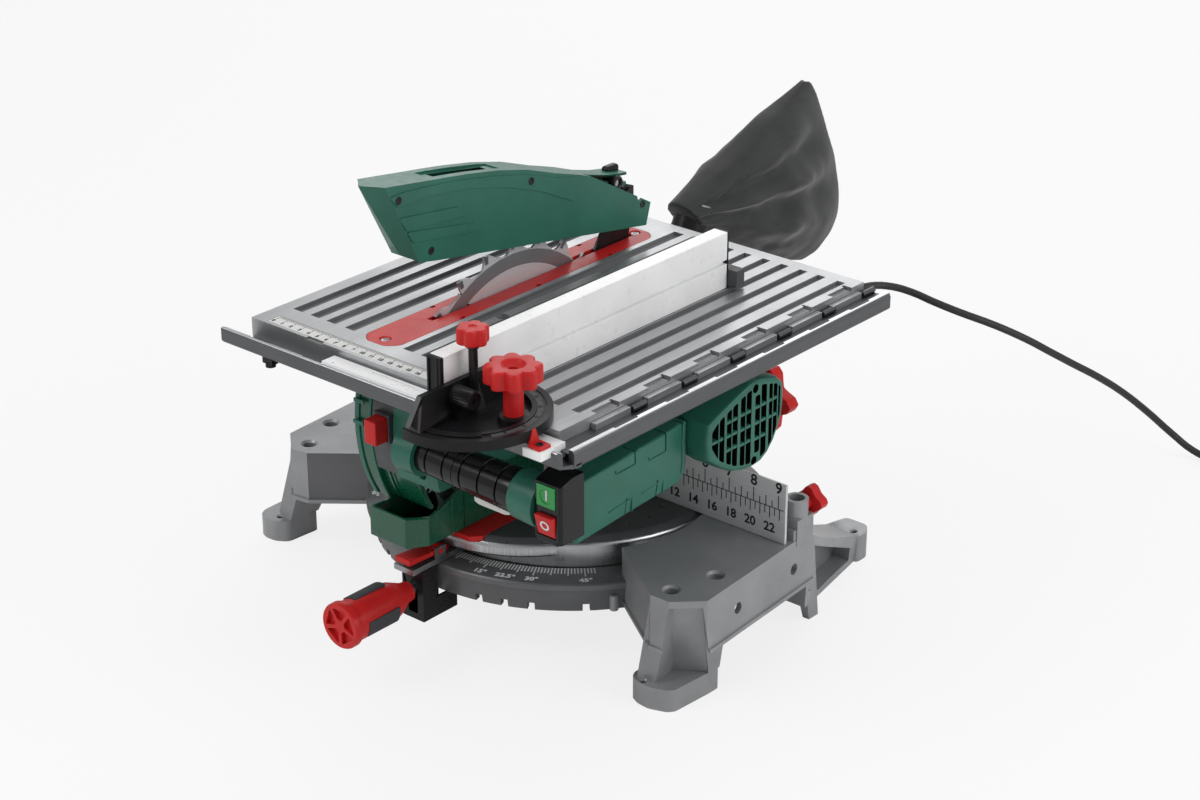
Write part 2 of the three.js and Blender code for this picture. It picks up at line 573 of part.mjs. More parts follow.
// Front handle on its locking rod
const handle = {
  neck: 7, neckY: -205, throatY: -213, throat: 8.5, shoulderY: -226, shoulder: 16, body: 17.6, end: 18.2,
  sleeveFront: -268, sleeveBack: -234, sleeveIn: 15, sleeveOut: 18.4, slot: 7, bodyFront: -275.6,
  capBack: -276, capFront: -284, cap: 20, capRim: 17.5, capHub: 4.5, capDepth: 3, spoke: 2.2,
  rodTip: -179, rodEnd: -236,
};
const handleHome = group('front_handle', turnGroup);
const handlePlace = [0, 0, bracket.rodZ];
const handleProfile = [
  [0, handle.bodyFront], [handle.end, handle.bodyFront], [handle.end, handle.sleeveFront],
  [handle.sleeveIn, handle.sleeveFront], [handle.sleeveIn, handle.sleeveBack], [handle.body, handle.sleeveBack],
  [handle.shoulder, handle.shoulderY], [handle.throat, handle.throatY], [handle.neck, handle.neckY],
  [0, handle.neckY],
];
piece('handle_body', turned('y', [0, 0], handleProfile).subtract(
  rod('y', [0, 0], bracket.bore + gap, handle.rodEnd - gap, handle.neckY + over, small),
), red, handleHome, handlePlace);
const sleeve = tube('y', [0, 0], handle.sleeveIn + gap, handle.sleeveOut, handle.sleeveFront + gap,
  handle.sleeveBack - gap);
const sleeveSlot = box([handle.sleeveIn - handle.slot, handle.sleeveOut * 2], [
  handle.sleeveFront + handle.slot / 2, handle.sleeveBack - handle.slot / 2], [-handle.slot / 2, handle.slot / 2]);
const aboutY = (solid, degrees) => toSolid(toGeometry(solid).rotateY(radians(degrees)));
piece('handle_sleeve', cutAll(sleeve, ...[45, 135, 225, 315].map((turn) => aboutY(sleeveSlot, turn))), rubber,
  handleHome, handlePlace);
const capPocket = tube('y', [0, 0], handle.capHub, handle.capRim, handle.capFront - over,
  handle.capFront + handle.capDepth);
const spokeBar = box([0, handle.cap], [handle.capFront * 2, 0], [-handle.spoke / 2, handle.spoke / 2]);
const spokes = join(...[0, 72, 144, 216, 288].map((turn) => aboutY(spokeBar, turn)));
piece('handle_cap', rod('y', [0, 0], handle.cap, handle.capFront, handle.capBack).subtract(
  capPocket.subtract(spokes)), red, handleHome, handlePlace);
piece('handle_rod', rod('y', [0, 0], bracket.bore, handle.rodEnd, handle.rodTip, small), steel, handleHome,
  handlePlace);

// Blade housing about the spindle axis
const axle = [spindle.y, spindle.z];
const headRadius = 135.3;
// Steps of the shells' radii from the inner one
const radiusSteps = {
  outer: 5.7, strip: 3.1, leftPlate: -2.1, leftReach: 2.2, guardSeam: -0.9, band: 3.6, shell: 2.9,
};
const housing = {
  inner: headRadius, outer: headRadius + radiusSteps.outer, strip: headRadius + radiusSteps.strip,
  left: -47, right: 45, seam: -1.2, wall: 2.8, bottom: 167, top: 273, leftPlate: -44, leftPlateIn: -41.4,
  leftRadius: headRadius + radiusSteps.leftPlate, leftReach: headRadius + radiusSteps.leftReach,
  partition: 15.3, partitionOut: 18, bossLeft: 7.5, boss: 22, rightBoss: 36,
  bump: 42, bumpWall: 3, bellLeft: 20, bellHole: 13,
  recess: 5, recessX: 27.6, recessZ: 178.6, gripBoss: 19, gripBossLeft: 24,
};
const frontFrom = 150.2;
const frontTo = 194.8;
const backFrom = -14.5;
const backTo = 29.5;
const clip = (from, to) => box([from, to], [spindle.y - housing.outer * 2, spindle.y + housing.outer * 2],
  [housing.bottom, housing.top]);
const plateOf = (radius, from, to) => rod('x', axle, radius, from, to, fine).intersect(clip(from, to));
const bladeArm = { low: 180, top: 219, root: 12.8, crest: 19, eyeLow: 186 };
const armFront = spindle.y + housing.outer - bladeArm.root;
const armSide = [
  [armFront, bladeArm.low], [hinge.y - hinge.eye, bladeArm.eyeLow],
  [hinge.y - hinge.eye / 2, hinge.z - hinge.eye * Math.cos(radians(30))], [hinge.y, hinge.z + hinge.eye],
  [armFront + bladeArm.crest, bladeArm.top], [armFront, bladeArm.top],
];
const post = { radius: 8, leftX: -62, leftY: 20, rightX: 100, rightY: 30, sleeve: 12.5, low: 205, high: 262,
  end: 216 };
const gripAhead = 9.3;
const grip = {
  y: spindle.y - housing.outer - gripAhead, z: 206.5, start: 46, end: 147, left: 14.5, right: 18.5,
  ringDepth: 1, ringWidth: 1.2, rings: 5,
};
const shells = join(
  prism('x', arcBand(axle, housing.inner, housing.outer, frontFrom, frontTo, 12), housing.seam, housing.right),
  prism('x', arcBand(axle, housing.inner, housing.outer, backFrom, backTo, 12), housing.left, housing.right),
  plateOf(housing.outer - gap, housing.right - housing.wall, housing.right),
  plateOf(housing.inner + housing.wall, housing.partition, housing.partitionOut),
  plateOf(housing.leftRadius, housing.leftPlate, housing.leftPlateIn),
  prism('x', arcBand(axle, housing.leftRadius - housing.wall, housing.leftReach, backFrom, backTo, 12),
    housing.leftPlate, housing.leftPlateIn),
);
const chin = prism('x', arcPoints(axle, housing.bump, 0, -180, 12), housing.partition, housing.right)
  .subtract(prism('x', arcPoints(axle, housing.bump - housing.bumpWall, 8, -188, 12), housing.partitionOut,
    housing.right - housing.wall));
const chinFloor = box([housing.partition, housing.right], [spindle.y - housing.inner, spindle.y + housing.inner],
  [housing.bottom, housing.bottom + housing.wall])
  .subtract(rod('x', axle, housing.bump - housing.bumpWall / 2, housing.partitionOut - gap,
    housing.right - housing.wall + gap, fine));
const hull = join(
  shells, chin, chinFloor,
  rod('x', axle, housing.boss, housing.bossLeft, housing.partitionOut, round),
  rod('x', axle, housing.boss - housing.wall, housing.rightBoss, housing.right, round),
  rod('x', axle, housing.bellLeft, housing.left - gap, housing.leftPlateIn, round),
  prism('x', armSide, -hinge.lug, hinge.lug),
  rod('x', [hinge.y, hinge.z], hinge.eye, -hinge.lug, hinge.lug, round),
  rod('x', [grip.y, grip.z], housing.gripBoss, housing.gripBossLeft, housing.right, round),
  rod('z', [post.leftX, post.leftY], post.sleeve, post.low, post.high, round),
  box([post.leftX, housing.leftPlateIn], [post.leftY - post.radius, post.leftY + post.radius],
    [post.low, post.high]),
);
const portRoot = 18.8;
const port = {
  outer: 16.6, inner: 14, startY: spindle.y + housing.outer - portRoot, startZ: 238, bendY: 112, liftY: 134,
  liftZ: 243, riseY: 150, riseZ: 258,
  mouthY: 160, mouthZ: 276, endY: 166.5, endZ: 289, lift: 25, rise: 52, lean: 64,
};
const housingBody = cutAll(hull,
  rod('x', axle, bored(spindle.radius, round), 0, housing.right + over, round),
  rod('x', axle, housing.bellHole, housing.left - over, housing.leftPlateIn + over, round),
  rod('x', [motorY, motorZ], spindle.radius, housing.partitionOut, housing.right + over, round),
  rod('x', [hinge.y, hinge.z], bored(hinge.radius, round), -hinge.lug - over, hinge.lug + over, round),
  rod('z', [post.leftX, post.leftY], post.radius + running, post.low - over, post.high + over, round),
  rod('y', [0, port.startZ], port.inner, port.startY - over * 2, armFront + over * 2, round),
  rod('y', [housing.recessX, housing.recessZ], housing.recess, spindle.y - housing.outer - over,
    spindle.y - housing.inner + housing.recess, small),
);
const headGroup = group('head', turnGroup);
piece('blade_housing', housingBody, green, headGroup);

// Grey strip with the lock button
const strip = { left: -27.8, right: -1.5, to: 195.6 };
const lock = { left: -18, right: -5, low: 199, high: 220, lift: 3, depth: 15.4, frame: 2, proud: 2.4 };
const lockBack = spindle.y - housing.strip - lock.lift;
const lockFront = lockBack - lock.depth;
const frameFront = lockBack - lock.proud;
const lockFrame = box([lock.left - lock.frame, lock.right + lock.frame],
  [frameFront, spindle.y - housing.strip + gap], [lock.low - lock.frame, lock.high + lock.frame]);
const lockHole = box([lock.left - gap, lock.right + gap], [lockFront, spindle.y - housing.strip],
  [lock.low - gap, lock.high + gap]);
piece('housing_strip', prism('x', arcBand(axle, housing.inner + gap, housing.strip, frontFrom, strip.to, 12),
  strip.left, strip.right).add(lockFrame).subtract(lockHole), graphite, headGroup);
piece('lock_button', box([lock.left, lock.right], [lockFront, lockBack], [lock.low, lock.high]), red,
  group('lock_button', headGroup));

// Lower guard: ribbed band, side plate and a recessed shell in front of the blade
const guardSeam = headRadius + radiusSteps.guardSeam;
const guard = {
  bandInner: guardSeam, bandOuter: guardSeam + radiusSteps.band, left: -47, bandRight: -28.1, plateRight: -44.4,
  shellInner: guardSeam - radiusSteps.shell, shellOuter: guardSeam, shellRight: 14.6, hub: 30,
  from: 151, to: 211, step: 0.8,
};
const guardArc = (inner, outer, from, to) => prism('x', arcBand(axle, inner, outer, guard.from, guard.to, 12),
  from, to);
const guardBody = join(
  guardArc(guard.bandInner - guard.step, guard.bandOuter, guard.left, guard.bandRight),
  guardArc(guard.shellInner, guard.shellOuter, guard.bandRight - guard.step, guard.shellRight),
  prism('x', [[spindle.y, spindle.z], ...arcPoints(axle, guard.bandOuter, guard.from, guard.to, 12)],
    guard.left, guard.plateRight),
  rod('x', axle, guard.hub, guard.left, guard.plateRight, round),
).subtract(rod('x', axle, bored(housing.bellLeft, round), guard.left - over, guard.plateRight + over, round));
piece('lower_guard', guardBody, darkGreen, group('lower_guard', headGroup));

// Grip, trigger, switch box and handle arm
const trigger = { left: 99, right: 137, half: 4.1, low: 182.8, high: 192.6, travel: 3 };
const gripRings = Array.from({ length: grip.rings }, (_, k) => {
  const share = (k + 1) / (grip.rings + 1);
  const x = grip.start + (grip.end - grip.start) * share;
  const radius = grip.left + (grip.right - grip.left) * share;
  return [[radius, x - grip.ringWidth / 2], [radius - grip.ringDepth, x], [radius, x + grip.ringWidth / 2]];
}).flat();
const gripStart = housing.right + gap;
const gripBody = turned('x', [grip.y, grip.z],
  [[0, gripStart], [grip.left, gripStart], ...gripRings, [grip.right, grip.end], [0, grip.end]], fine)
  .subtract(box([trigger.left - gap * 2, trigger.right + gap * 2],
    [grip.y - trigger.half - gap, grip.y + trigger.half + gap],
    [trigger.low - over, trigger.high + trigger.travel + gap]));
piece('grip', gripBody, black, headGroup);
piece('trigger', box([trigger.left, trigger.right], [grip.y - trigger.half, grip.y + trigger.half],
  [trigger.low, trigger.high]),
  paint(0xd8d8d4, 0.5), group('trigger', headGroup));

const collar = { radius: 19.6, end: 173.6 };
const armSteps = { front: 12.9, shoulder: 19.6, boxFront: 15.5, boxBack: 12.5 };
const handleArm = {
  left: 168, right: 195, front: grip.y + armSteps.front, rear: -84.4, frontLow: 171, frontTop: 228,
  shoulderY: grip.y + armSteps.front + armSteps.shoulder, shoulderTop: 233, rearTop: 237, rearLow: 191,
  midY: -150, midLow: 177, chamfer: 3,
};
const armProfile = [
  [handleArm.front, handleArm.frontLow], [handleArm.midY, handleArm.midLow], [handleArm.rear, handleArm.rearLow],
  [handleArm.rear, handleArm.rearTop], [handleArm.shoulderY, handleArm.shoulderTop],
  [handleArm.front, handleArm.frontTop],
];
const armSolid = join(
  prism('x', armProfile, handleArm.left, handleArm.right - handleArm.chamfer),
  prism('x', drawnIn([...armProfile], handleArm.chamfer), handleArm.right - handleArm.chamfer - gap,
    handleArm.right),
  rod('x', [grip.y, grip.z], collar.radius, grip.end + gap, collar.end, round),
);
piece('handle_arm', armSolid, green, headGroup);

const switchBox = {
  left: 174, right: 199, front: grip.y - armSteps.boxFront, back: grip.y + armSteps.boxBack, low: 186, high: 231,
  soft: 3, sunk: 7,
};
const button = { left: 178.5, right: 194.5, onLow: 211.5, onHigh: 227, offLow: 190, offHigh: 205.5, out: 2,
  depth: 6, play: 0.4 };
const switchPlan = [
  [switchBox.left, switchBox.back], [switchBox.left, switchBox.front + switchBox.soft],
  [switchBox.left + switchBox.soft, switchBox.front], [switchBox.right - switchBox.soft, switchBox.front],
  [switchBox.right, switchBox.front + switchBox.soft], [switchBox.right, switchBox.back],
];
const buttonHole = (low, high) => box([button.left - button.play, button.right + button.play],
  [switchBox.front - over, switchBox.front + switchBox.sunk], [low - button.play, high + button.play]);
const buttonBody = (low, high) => box([button.left, button.right],
  [switchBox.front - button.out, switchBox.front - button.out + button.depth], [low, high]);
piece('switch_box', cutAll(prism('z', switchPlan, switchBox.low, switchBox.high),
  buttonHole(button.onLow, button.onHigh), buttonHole(button.offLow, button.offHigh)), black, headGroup);
piece('button_on', buttonBody(button.onLow, button.onHigh), paint(0x0f9a45, 0.35), group('button_on', headGroup));
piece('button_off', buttonBody(button.offLow, button.offHigh), red, group('button_off', headGroup));

// Motor housing, end cap and rotor
const motor = {
  left: 45.3, right: 190, capRight: 215, frontY: -84, backY: 15, low: 178, frontLow: 197, lowFrontY: -68,
  lowBackY: 0, frontTop: 234, topFrontY: -20, top: 250, topBackY: 5, backTop: 238, backLow: 195,
  bore: 33, endWall: 5, shaft: 6, shaftStart: 22, shaftEnd: 203, core: 29.5, coreStart: 75, coreEnd: 145,
  fan: 31, fanStart: 162, fanEnd: 174, capBore: 206, capChamfer: 5, vents: 5, ventHalf: 20, ventThick: 3,
  screw: 4, screwIn: 10, screwDepth: 4,
};
const motorOutline = [
  [motor.frontY, motor.frontLow], [motor.lowFrontY, motor.low], [motor.lowBackY, motor.low],
  [motor.backY, motor.backLow], [motor.backY, motor.backTop], [motor.topBackY, motor.top],
  [motor.topFrontY, motor.top], [motor.frontY, motor.frontTop],
];
const motorAxis = [motorY, motorZ];
const motorBody = cutAll(join(
  prism('x', motorOutline, motor.left, motor.right),
  rod('z', [post.rightX, post.rightY], post.sleeve, post.low, motor.top, round),
  box([post.rightX - post.radius, post.rightX + post.radius], [0, post.rightY], [post.low, motor.backTop]),
),
rod('x', motorAxis, motor.bore, motor.left + motor.endWall, motor.right + over, fine),
rod('x', motorAxis, bored(motor.shaft, round), motor.left - over, motor.right, round),
rod('z', [post.rightX, post.rightY], post.radius + running, post.low - over, motor.top + over, round),
);
piece('motor_housing', motorBody, green, headGroup);

const ventStep = (motor.top - motor.low) / (motor.vents + 3);
const ventBoxes = Array.from({ length: motor.vents }, (_, k) => {
  const z = motorZ + (k - (motor.vents - 1) / 2) * ventStep;
  return box([motor.capBore - over, motor.capRight + over], [motorY - motor.ventHalf, motorY + motor.ventHalf],
    [z - motor.ventThick / 2, z + motor.ventThick / 2]);
});
const capScrews = [[motor.frontY, motor.frontTop, 1, -1], [motor.backY, motor.backLow, -1, 1],
  [motor.frontY, motor.frontLow, 1, 1], [motor.backY, motor.backTop, -1, -1]];
const capBody = cutAll(join(
  prism('x', motorOutline, motor.right + gap, motor.capRight - motor.capChamfer),
  skinned([
    drawnIn(motorOutline, 0).map(([y, z]) => [motor.capRight - motor.capChamfer - gap, y, z]),
    drawnIn(motorOutline, motor.capChamfer).map(([y, z]) => [motor.capRight, y, z]),
  ]),
),
rod('x', motorAxis, motor.bore, motor.right, motor.capBore, fine),
...ventBoxes,
...capScrews.map(([y, z, along, up]) => rod('x', [y + along * motor.screwIn, z + up * motor.screwIn / 2],
  motor.screw, motor.capRight - motor.screwDepth, motor.capRight + over, small)),
);
piece('motor_cap', capBody, green, headGroup);

const rotorHome = group('rotor', headGroup);
const rotorPlace = [0, motorY, motorZ];
const origin = [0, 0];
piece('armature', join(
  rod('x', origin, motor.shaft, motor.shaftStart, motor.shaftEnd, round),
  rod('x', origin, motor.core, motor.coreStart, motor.coreEnd, round),
  rod('x', origin, motor.fan, motor.fanStart, motor.fanEnd, round),
), steel, rotorHome, rotorPlace);

// Gears: a tooth's flanks run straight from its root to its tip
const tooth = { tipShare: 0.12, rootShare: 0.3, addendum: 0.75, dedendum: 1.15 };
function gearOutline(teeth, phase) {
  const radius = gearing.module * teeth / 2;
  const rows = [[radius - tooth.dedendum * gearing.module, -tooth.rootShare],
    [radius + tooth.addendum * gearing.module, -tooth.tipShare],
    [radius + tooth.addendum * gearing.module, tooth.tipShare],
    [radius - tooth.dedendum * gearing.module, tooth.rootShare]];
  return Array.from({ length: teeth }, (_, k) => rows.map(([r, share]) => {
    const angle = radians(phase) + 2 * Math.PI * (k + share) / teeth;
    return [r * Math.cos(angle), r * Math.sin(angle)];
  })).flat();
}
const gearX = { left: 23.5, right: 33.5, bore: 8.3, pinionLeft: 22.5, pinionRight: 34.5 };
const halfTooth = 180 / gearing.gearTeeth;
piece('pinion', prism('x', gearOutline(gearing.pinionTeeth, gearing.lean + 180), gearX.pinionLeft,
  gearX.pinionRight).subtract(rod('x', origin, motor.shaft + gap / 4, 0, housing.right, round)), steel, rotorHome,
rotorPlace);

const bladeHome = group('blade', headGroup);
const bladePlace = [0, spindle.y, spindle.z];
piece('gear', prism('x', gearOutline(gearing.gearTeeth, gearing.lean + halfTooth), gearX.left, gearX.right)
  .subtract(rod('x', origin, gearX.bore, 0, housing.right, round)), steel, bladeHome, bladePlace);
const boltFit = { head: 9.5, headLeft: -12, shank: 4, shankEnd: 12, boreEnd: 14 };
piece('spindle', rod('x', origin, spindle.radius, spindle.left, spindle.right, round)
  .subtract(rod('x', origin, boltFit.shank + gap, spindle.left - over, boltFit.boreEnd, small)), steel, bladeHome,
bladePlace);
piece('arbor_bolt', join(
  rod('x', origin, boltFit.head, boltFit.headLeft, spindle.left - gap, 6),
  rod('x', origin, boltFit.shank, spindle.left - gap * 2, boltFit.shankEnd, small),
), steel, bladeHome, bladePlace);
const blade = { radius: 127, root: 119, half: 1.2, teeth: 24, bore: 8.3, flange: 25, flangeOut: 5.5 };
const toothShares = [[0, 1], [0.16, 0.985], [0.3, 0.3], [0.62, 0]];
const bladeOutline = Array.from({ length: blade.teeth }, (_, k) => toothShares.map(([turn, rise]) => {
  const angle = -2 * Math.PI * (k + turn) / blade.teeth;
  const r = blade.root + (blade.radius - blade.root) * rise;
  return [r * Math.cos(angle), r * Math.sin(angle)];
})).flat().reverse();
piece('saw_blade', prism('x', bladeOutline, -blade.half, blade.half)
  .subtract(rod('x', origin, blade.bore, -over, over, round)), steel, bladeHome, bladePlace);
const flange = (from, to) => tube('x', origin, blade.bore, blade.flange, from, to);
piece('outer_flange', flange(-blade.flangeOut, -blade.half - gap), steel, bladeHome, bladePlace);
piece('inner_flange', flange(blade.half + gap, blade.flangeOut), steel, bladeHome, bladePlace);

// Dust port and bag behind the head
function placedRing(centre, normalAngle, half, wide, sides) {
  const [cy, cz] = centre;
  const across = [-Math.sin(radians(normalAngle)), Math.cos(radians(normalAngle))];
  return Array.from({ length: sides }, (_, k) => {
    const angle = 2 * Math.PI * k / sides;
    const up = half * Math.cos(angle);
    return [wide * Math.sin(angle), cy + across[0] * up, cz + across[1] * up];
  });
}
const portLine = [
  [port.startY, port.startZ, 0], [port.bendY, port.startZ, 0], [port.liftY, port.liftZ, port.lift],
  [port.riseY, port.riseZ, port.rise], [port.mouthY, port.mouthZ, port.lean], [port.endY, port.endZ, port.lean],
];
const portSkin = (radius, ends) => skinned(portLine.map(([y, z, angle], k) => {
  const slide = k === 0 ? -ends : (k === portLine.length - 1 ? ends : 0);
  return placedRing([y + slide * Math.cos(radians(angle)), z + slide * Math.sin(radians(angle))], angle,
    radius, radius, round);
}));
piece('dust_port', cutAll(portSkin(port.outer, 0), portSkin(port.inner, over / 4),
  rod('x', axle, housing.outer + gap, -port.outer - over, port.outer + over, finest)), black, headGroup);
const bag = { neck: 15.5, lead: 0.4, neckLength: 9, front: 183, back: 379, low: 193, top: 371, half: 52 };
const portEnd = portLine[portLine.length - 1];
const along = [Math.cos(radians(portEnd[2])), Math.sin(radians(portEnd[2]))];
const bagAt = (step) => [portEnd[0] + along[0] * step, portEnd[1] + along[1] * step];
// Each ring's top and bottom as shares of the bag's length and height, and its half width
const bagShares = [
  [0, 0.7, 0.11, 0.4, 0.58], [0.25, 0.84, 0.31, 0.2, 0.85], [0.54, 0.96, 0.54, 0.06, 1],
  [0.77, 1, 0.72, 0, 0.96], [0.91, 0.77, 0.86, 0.07, 0.81], [0.99, 0.52, 1, 0.16, 0.5],
];
const ovalRing = ([topY, topZ, lowY, lowZ, wide]) => Array.from({ length: round }, (_, k) => {
  const angle = 2 * Math.PI * k / round;
  const share = (1 + Math.cos(angle)) / 2;
  return [wide * bag.half * Math.sin(angle), bag.front + (bag.back - bag.front) * (lowY + (topY - lowY) * share),
    bag.low + (bag.top - bag.low) * (lowZ + (topZ - lowZ) * share)];
});
piece('dust_bag', skinned([
  placedRing(bagAt(bag.lead), portEnd[2], bag.neck, bag.neck, round),
  placedRing(bagAt(bag.lead + bag.neckLength), portEnd[2], bag.neck, bag.neck, round),
  ...bagShares.map(ovalRing),
]), cloth, headGroup);
const clipRing = { wire: 1.5, steps: 24 };
const clipGeometry = new THREE.TorusGeometry(bag.neck + gap + clipRing.wire, clipRing.wire, 6, clipRing.steps);
clipGeometry.rotateX(radians(90));
clipGeometry.rotateX(radians(portEnd[2]));
clipGeometry.translate(0, ...bagAt(bag.lead + bag.neckLength / 2));
piece('bag_clip', toSolid(clipGeometry), steel, headGroup);

// Saw table on its posts
const tableLow = table.top - table.plate;
const groove = { wide: 10.5, narrow: 8, depth: 3.5, front: -226, back: 108 };
// Places of the grooves' middles as shares of the table's width
const wideGrooveShares = [0.055, 0.115, 0.171, 0.235, 0.432, 0.491, 0.544];
const narrowGrooveShares = [0.603, 0.661, 0.722, 0.78, 0.839, 0.896, 0.957];
const plate = { half: 18.5, front: -232, back: 92, corner: 9, thick: 5, slot: 3, slotFront: -171, slotBack: 80,
  ledge: 5, openBack: 22, knifeHalf: 1.5, lugHalf: 8, lugFront: 46, lugBack: 72, lugLow: 276 };
const insertOutline = (inset) => {
  const half = plate.half + inset;
  const front = plate.front - inset;
  const back = plate.back + inset;
  return [
    [-half, front + plate.corner], [-half + plate.corner, front], [half - plate.corner, front],
    [half, front + plate.corner], [half, back - plate.corner], [half - plate.corner, back],
    [-half + plate.corner, back], [-half, back - plate.corner],
  ];
};
const ruler = { left: -97, right: 79, front: -256, back: -243, depth: 0.8 };
const roundHole = { x: 39, y: -128, radius: 5.5 };
function grooveBox(share, width) {
  const x = table.left + (table.right - table.left) * share;
  return box([x - width / 2, x + width / 2], [groove.front, groove.back],
    [table.top - groove.depth, table.top + over]);
}
const skirtOuter = [[table.left, table.front], [table.right, table.front], [table.right, table.back],
  [table.left, table.back]];
const knifeLug = box([plate.knifeHalf, plate.lugHalf], [plate.lugFront, plate.lugBack],
  [plate.lugLow, tableLow + gap]);
const topBody = cutAll(
  join(
    cutAll(prism('z', skirtOuter, table.skirt, table.top),
      prism('z', drawnIn(skirtOuter, table.wall), table.skirt - over, tableLow)),
    rod('z', [post.leftX, post.leftY], post.radius, post.end, tableLow + gap, round),
    rod('z', [post.rightX, post.rightY], post.radius, post.end, tableLow + gap, round),
    knifeLug, mirrored(knifeLug),
  ),
  ...wideGrooveShares.map((share) => grooveBox(share, groove.wide)),
  ...narrowGrooveShares.map((share) => grooveBox(share, groove.narrow)),
  prism('z', insertOutline(gap), table.top - plate.thick - gap, table.top + over),
  box([plate.ledge - plate.half, plate.half - plate.ledge], [plate.front + plate.corner, plate.openBack],
    [tableLow - over, table.top]),
  box([-plate.knifeHalf, plate.knifeHalf], [plate.openBack - gap, plate.slotBack], [tableLow - over, table.top]),
  box([ruler.left, ruler.right], [ruler.front, ruler.back], [table.top - ruler.depth, table.top + over]),
  rod('z', [roundHole.x, roundHole.y], roundHole.radius, tableLow - over, table.top + over, small),
);
const tableGroup = group('table', headGroup);
piece('table_top', topBody, lightGrey, tableGroup);
piece('table_insert', prism('z', insertOutline(0), table.top - plate.thick, table.top)
  .subtract(box([-plate.slot, plate.slot], [plate.slotFront, plate.slotBack], [0, table.top + over])), red,
tableGroup);

// Rails: a channel in front and one on the right
const rail = {
  left: -128, right: 236, front: -296, floor: 264, floorTop: 267.6, lipBack: -284, lipTop: 285, lipStep: 283,
  ridge: -290, corner: 12, sideIn: 231, sideBack: 128,
};
const frontProfile = [
  [rail.front, rail.floor], [table.front - gap, rail.floor], [table.front - gap, rail.floorTop],
  [rail.lipBack, rail.floorTop], [rail.lipBack, rail.lipTop], [rail.ridge, rail.lipTop],
  [rail.ridge, rail.lipStep], [rail.front, rail.lipStep],
];
const cornerCut = prism('z', [[rail.right - rail.corner, rail.front - over], [rail.right + over, rail.front - over],
  [rail.right + over, rail.front + rail.corner], [rail.right, rail.front + rail.corner],
  [rail.right - rail.corner, rail.front]], 0, table.top);
piece('front_rail', prism('x', frontProfile, rail.left, rail.right).subtract(cornerCut), aluminium, tableGroup);
const sideProfile = [
  [table.right + gap, rail.floor], [rail.right, rail.floor], [rail.right, rail.lipTop],
  [rail.sideIn, rail.lipTop], [rail.sideIn, rail.floorTop], [table.right + gap, rail.floorTop],
];
piece('right_rail', prism('y', sideProfile, table.front, rail.sideBack), aluminium, tableGroup);

// Riving knife, upper guard and its pivot
const knife = { half: 1.1, lowFront: 37, footFront: 29.5, low: 275.5, footBack: 70, neck: 74, rise: 326,
  tipY: 80.5, tipZ: 336, crownY: 73, crownZ: 339, shoulderY: 60, shoulderZ: 333, waistY: 40, waistZ: 308 };
const pivot = { y: 73, z: 332, radius: 4, half: 15, head: 7, headThick: 4 };
const knifeOutline = [
  [knife.lowFront, knife.low], [knife.footBack, knife.low], [knife.neck, table.top], [knife.tipY, knife.rise],
  [knife.tipY, knife.tipZ], [knife.crownY, knife.crownZ], [knife.shoulderY, knife.shoulderZ],
  [knife.waistY, knife.waistZ], [knife.footFront, table.top],
];
const pivotHole = rod('x', [pivot.y, pivot.z], bored(pivot.radius, small), -pivot.half - over, pivot.half + over,
  small);
piece('riving_knife', prism('x', knifeOutline, -knife.half, knife.half).subtract(pivotHole), black, tableGroup);
piece('guard_pivot', join(
  rod('x', origin, pivot.radius, -pivot.half - gap * 2, pivot.half + gap * 2, small),
  rod('x', origin, pivot.head, pivot.half + gap, pivot.half + pivot.headThick, small),
  rod('x', origin, pivot.head, -pivot.half - pivot.headThick, -pivot.half - gap, small),
), black, tableGroup, [0, pivot.y, pivot.z]);
const hood = {
  wall: 2.4, noseY: -231, noseZ: 419, topY: -185, topZ: 414.5, midY: -137, midZ: 408.5, fallY: -69, fallZ: 393.5,
  lowY: -35, lowZ: 381, backY: 19, backZ: 358, tailY: 58, tailZ: 346, endY: 83, endZ: 342, heelY: 88, heelZ: 327,
  footY: 81, footZ: 303, chinY: -178, chinZ: 348, jawY: -193, jawZ: 351, faceY: -219, faceZ: 366,
  windowFront: -150, windowBack: -104, windowHalf: 5,
};
const hoodTop = [
  [hood.noseY, hood.noseZ], [hood.topY, hood.topZ], [hood.midY, hood.midZ], [hood.fallY, hood.fallZ],
  [hood.lowY, hood.lowZ], [hood.backY, hood.backZ], [hood.tailY, hood.tailZ], [hood.endY, hood.endZ],
];
const hoodOutline = [...hoodTop, [hood.heelY, hood.heelZ], [hood.footY, hood.footZ], [hood.chinY, hood.chinZ],
  [hood.jawY, hood.jawZ], [hood.faceY, hood.faceZ]];
const hoodHollow = [
  [hood.noseY + hood.wall * 2, hood.noseZ - hood.wall * 2],
  ...hoodTop.slice(1).map(([y, z]) => [y, z - hood.wall]),
  [hood.endY + over, hood.endZ - hood.wall], [hood.endY + over, table.top], [hood.faceY + hood.wall, table.top],
  [hood.faceY + hood.wall, hood.faceZ],
];
const innerHalf = pivot.half - hood.wall;
const hoodBody = cutAll(prism('x', hoodOutline, -pivot.half, pivot.half),
  prism('x', hoodHollow, -innerHalf, innerHalf),
  box([-hood.windowHalf, hood.windowHalf], [hood.windowFront, hood.windowBack], [hood.fallZ, hood.noseZ]),
  pivotHole);
piece('upper_guard', hoodBody, green, group('upper_guard', tableGroup));

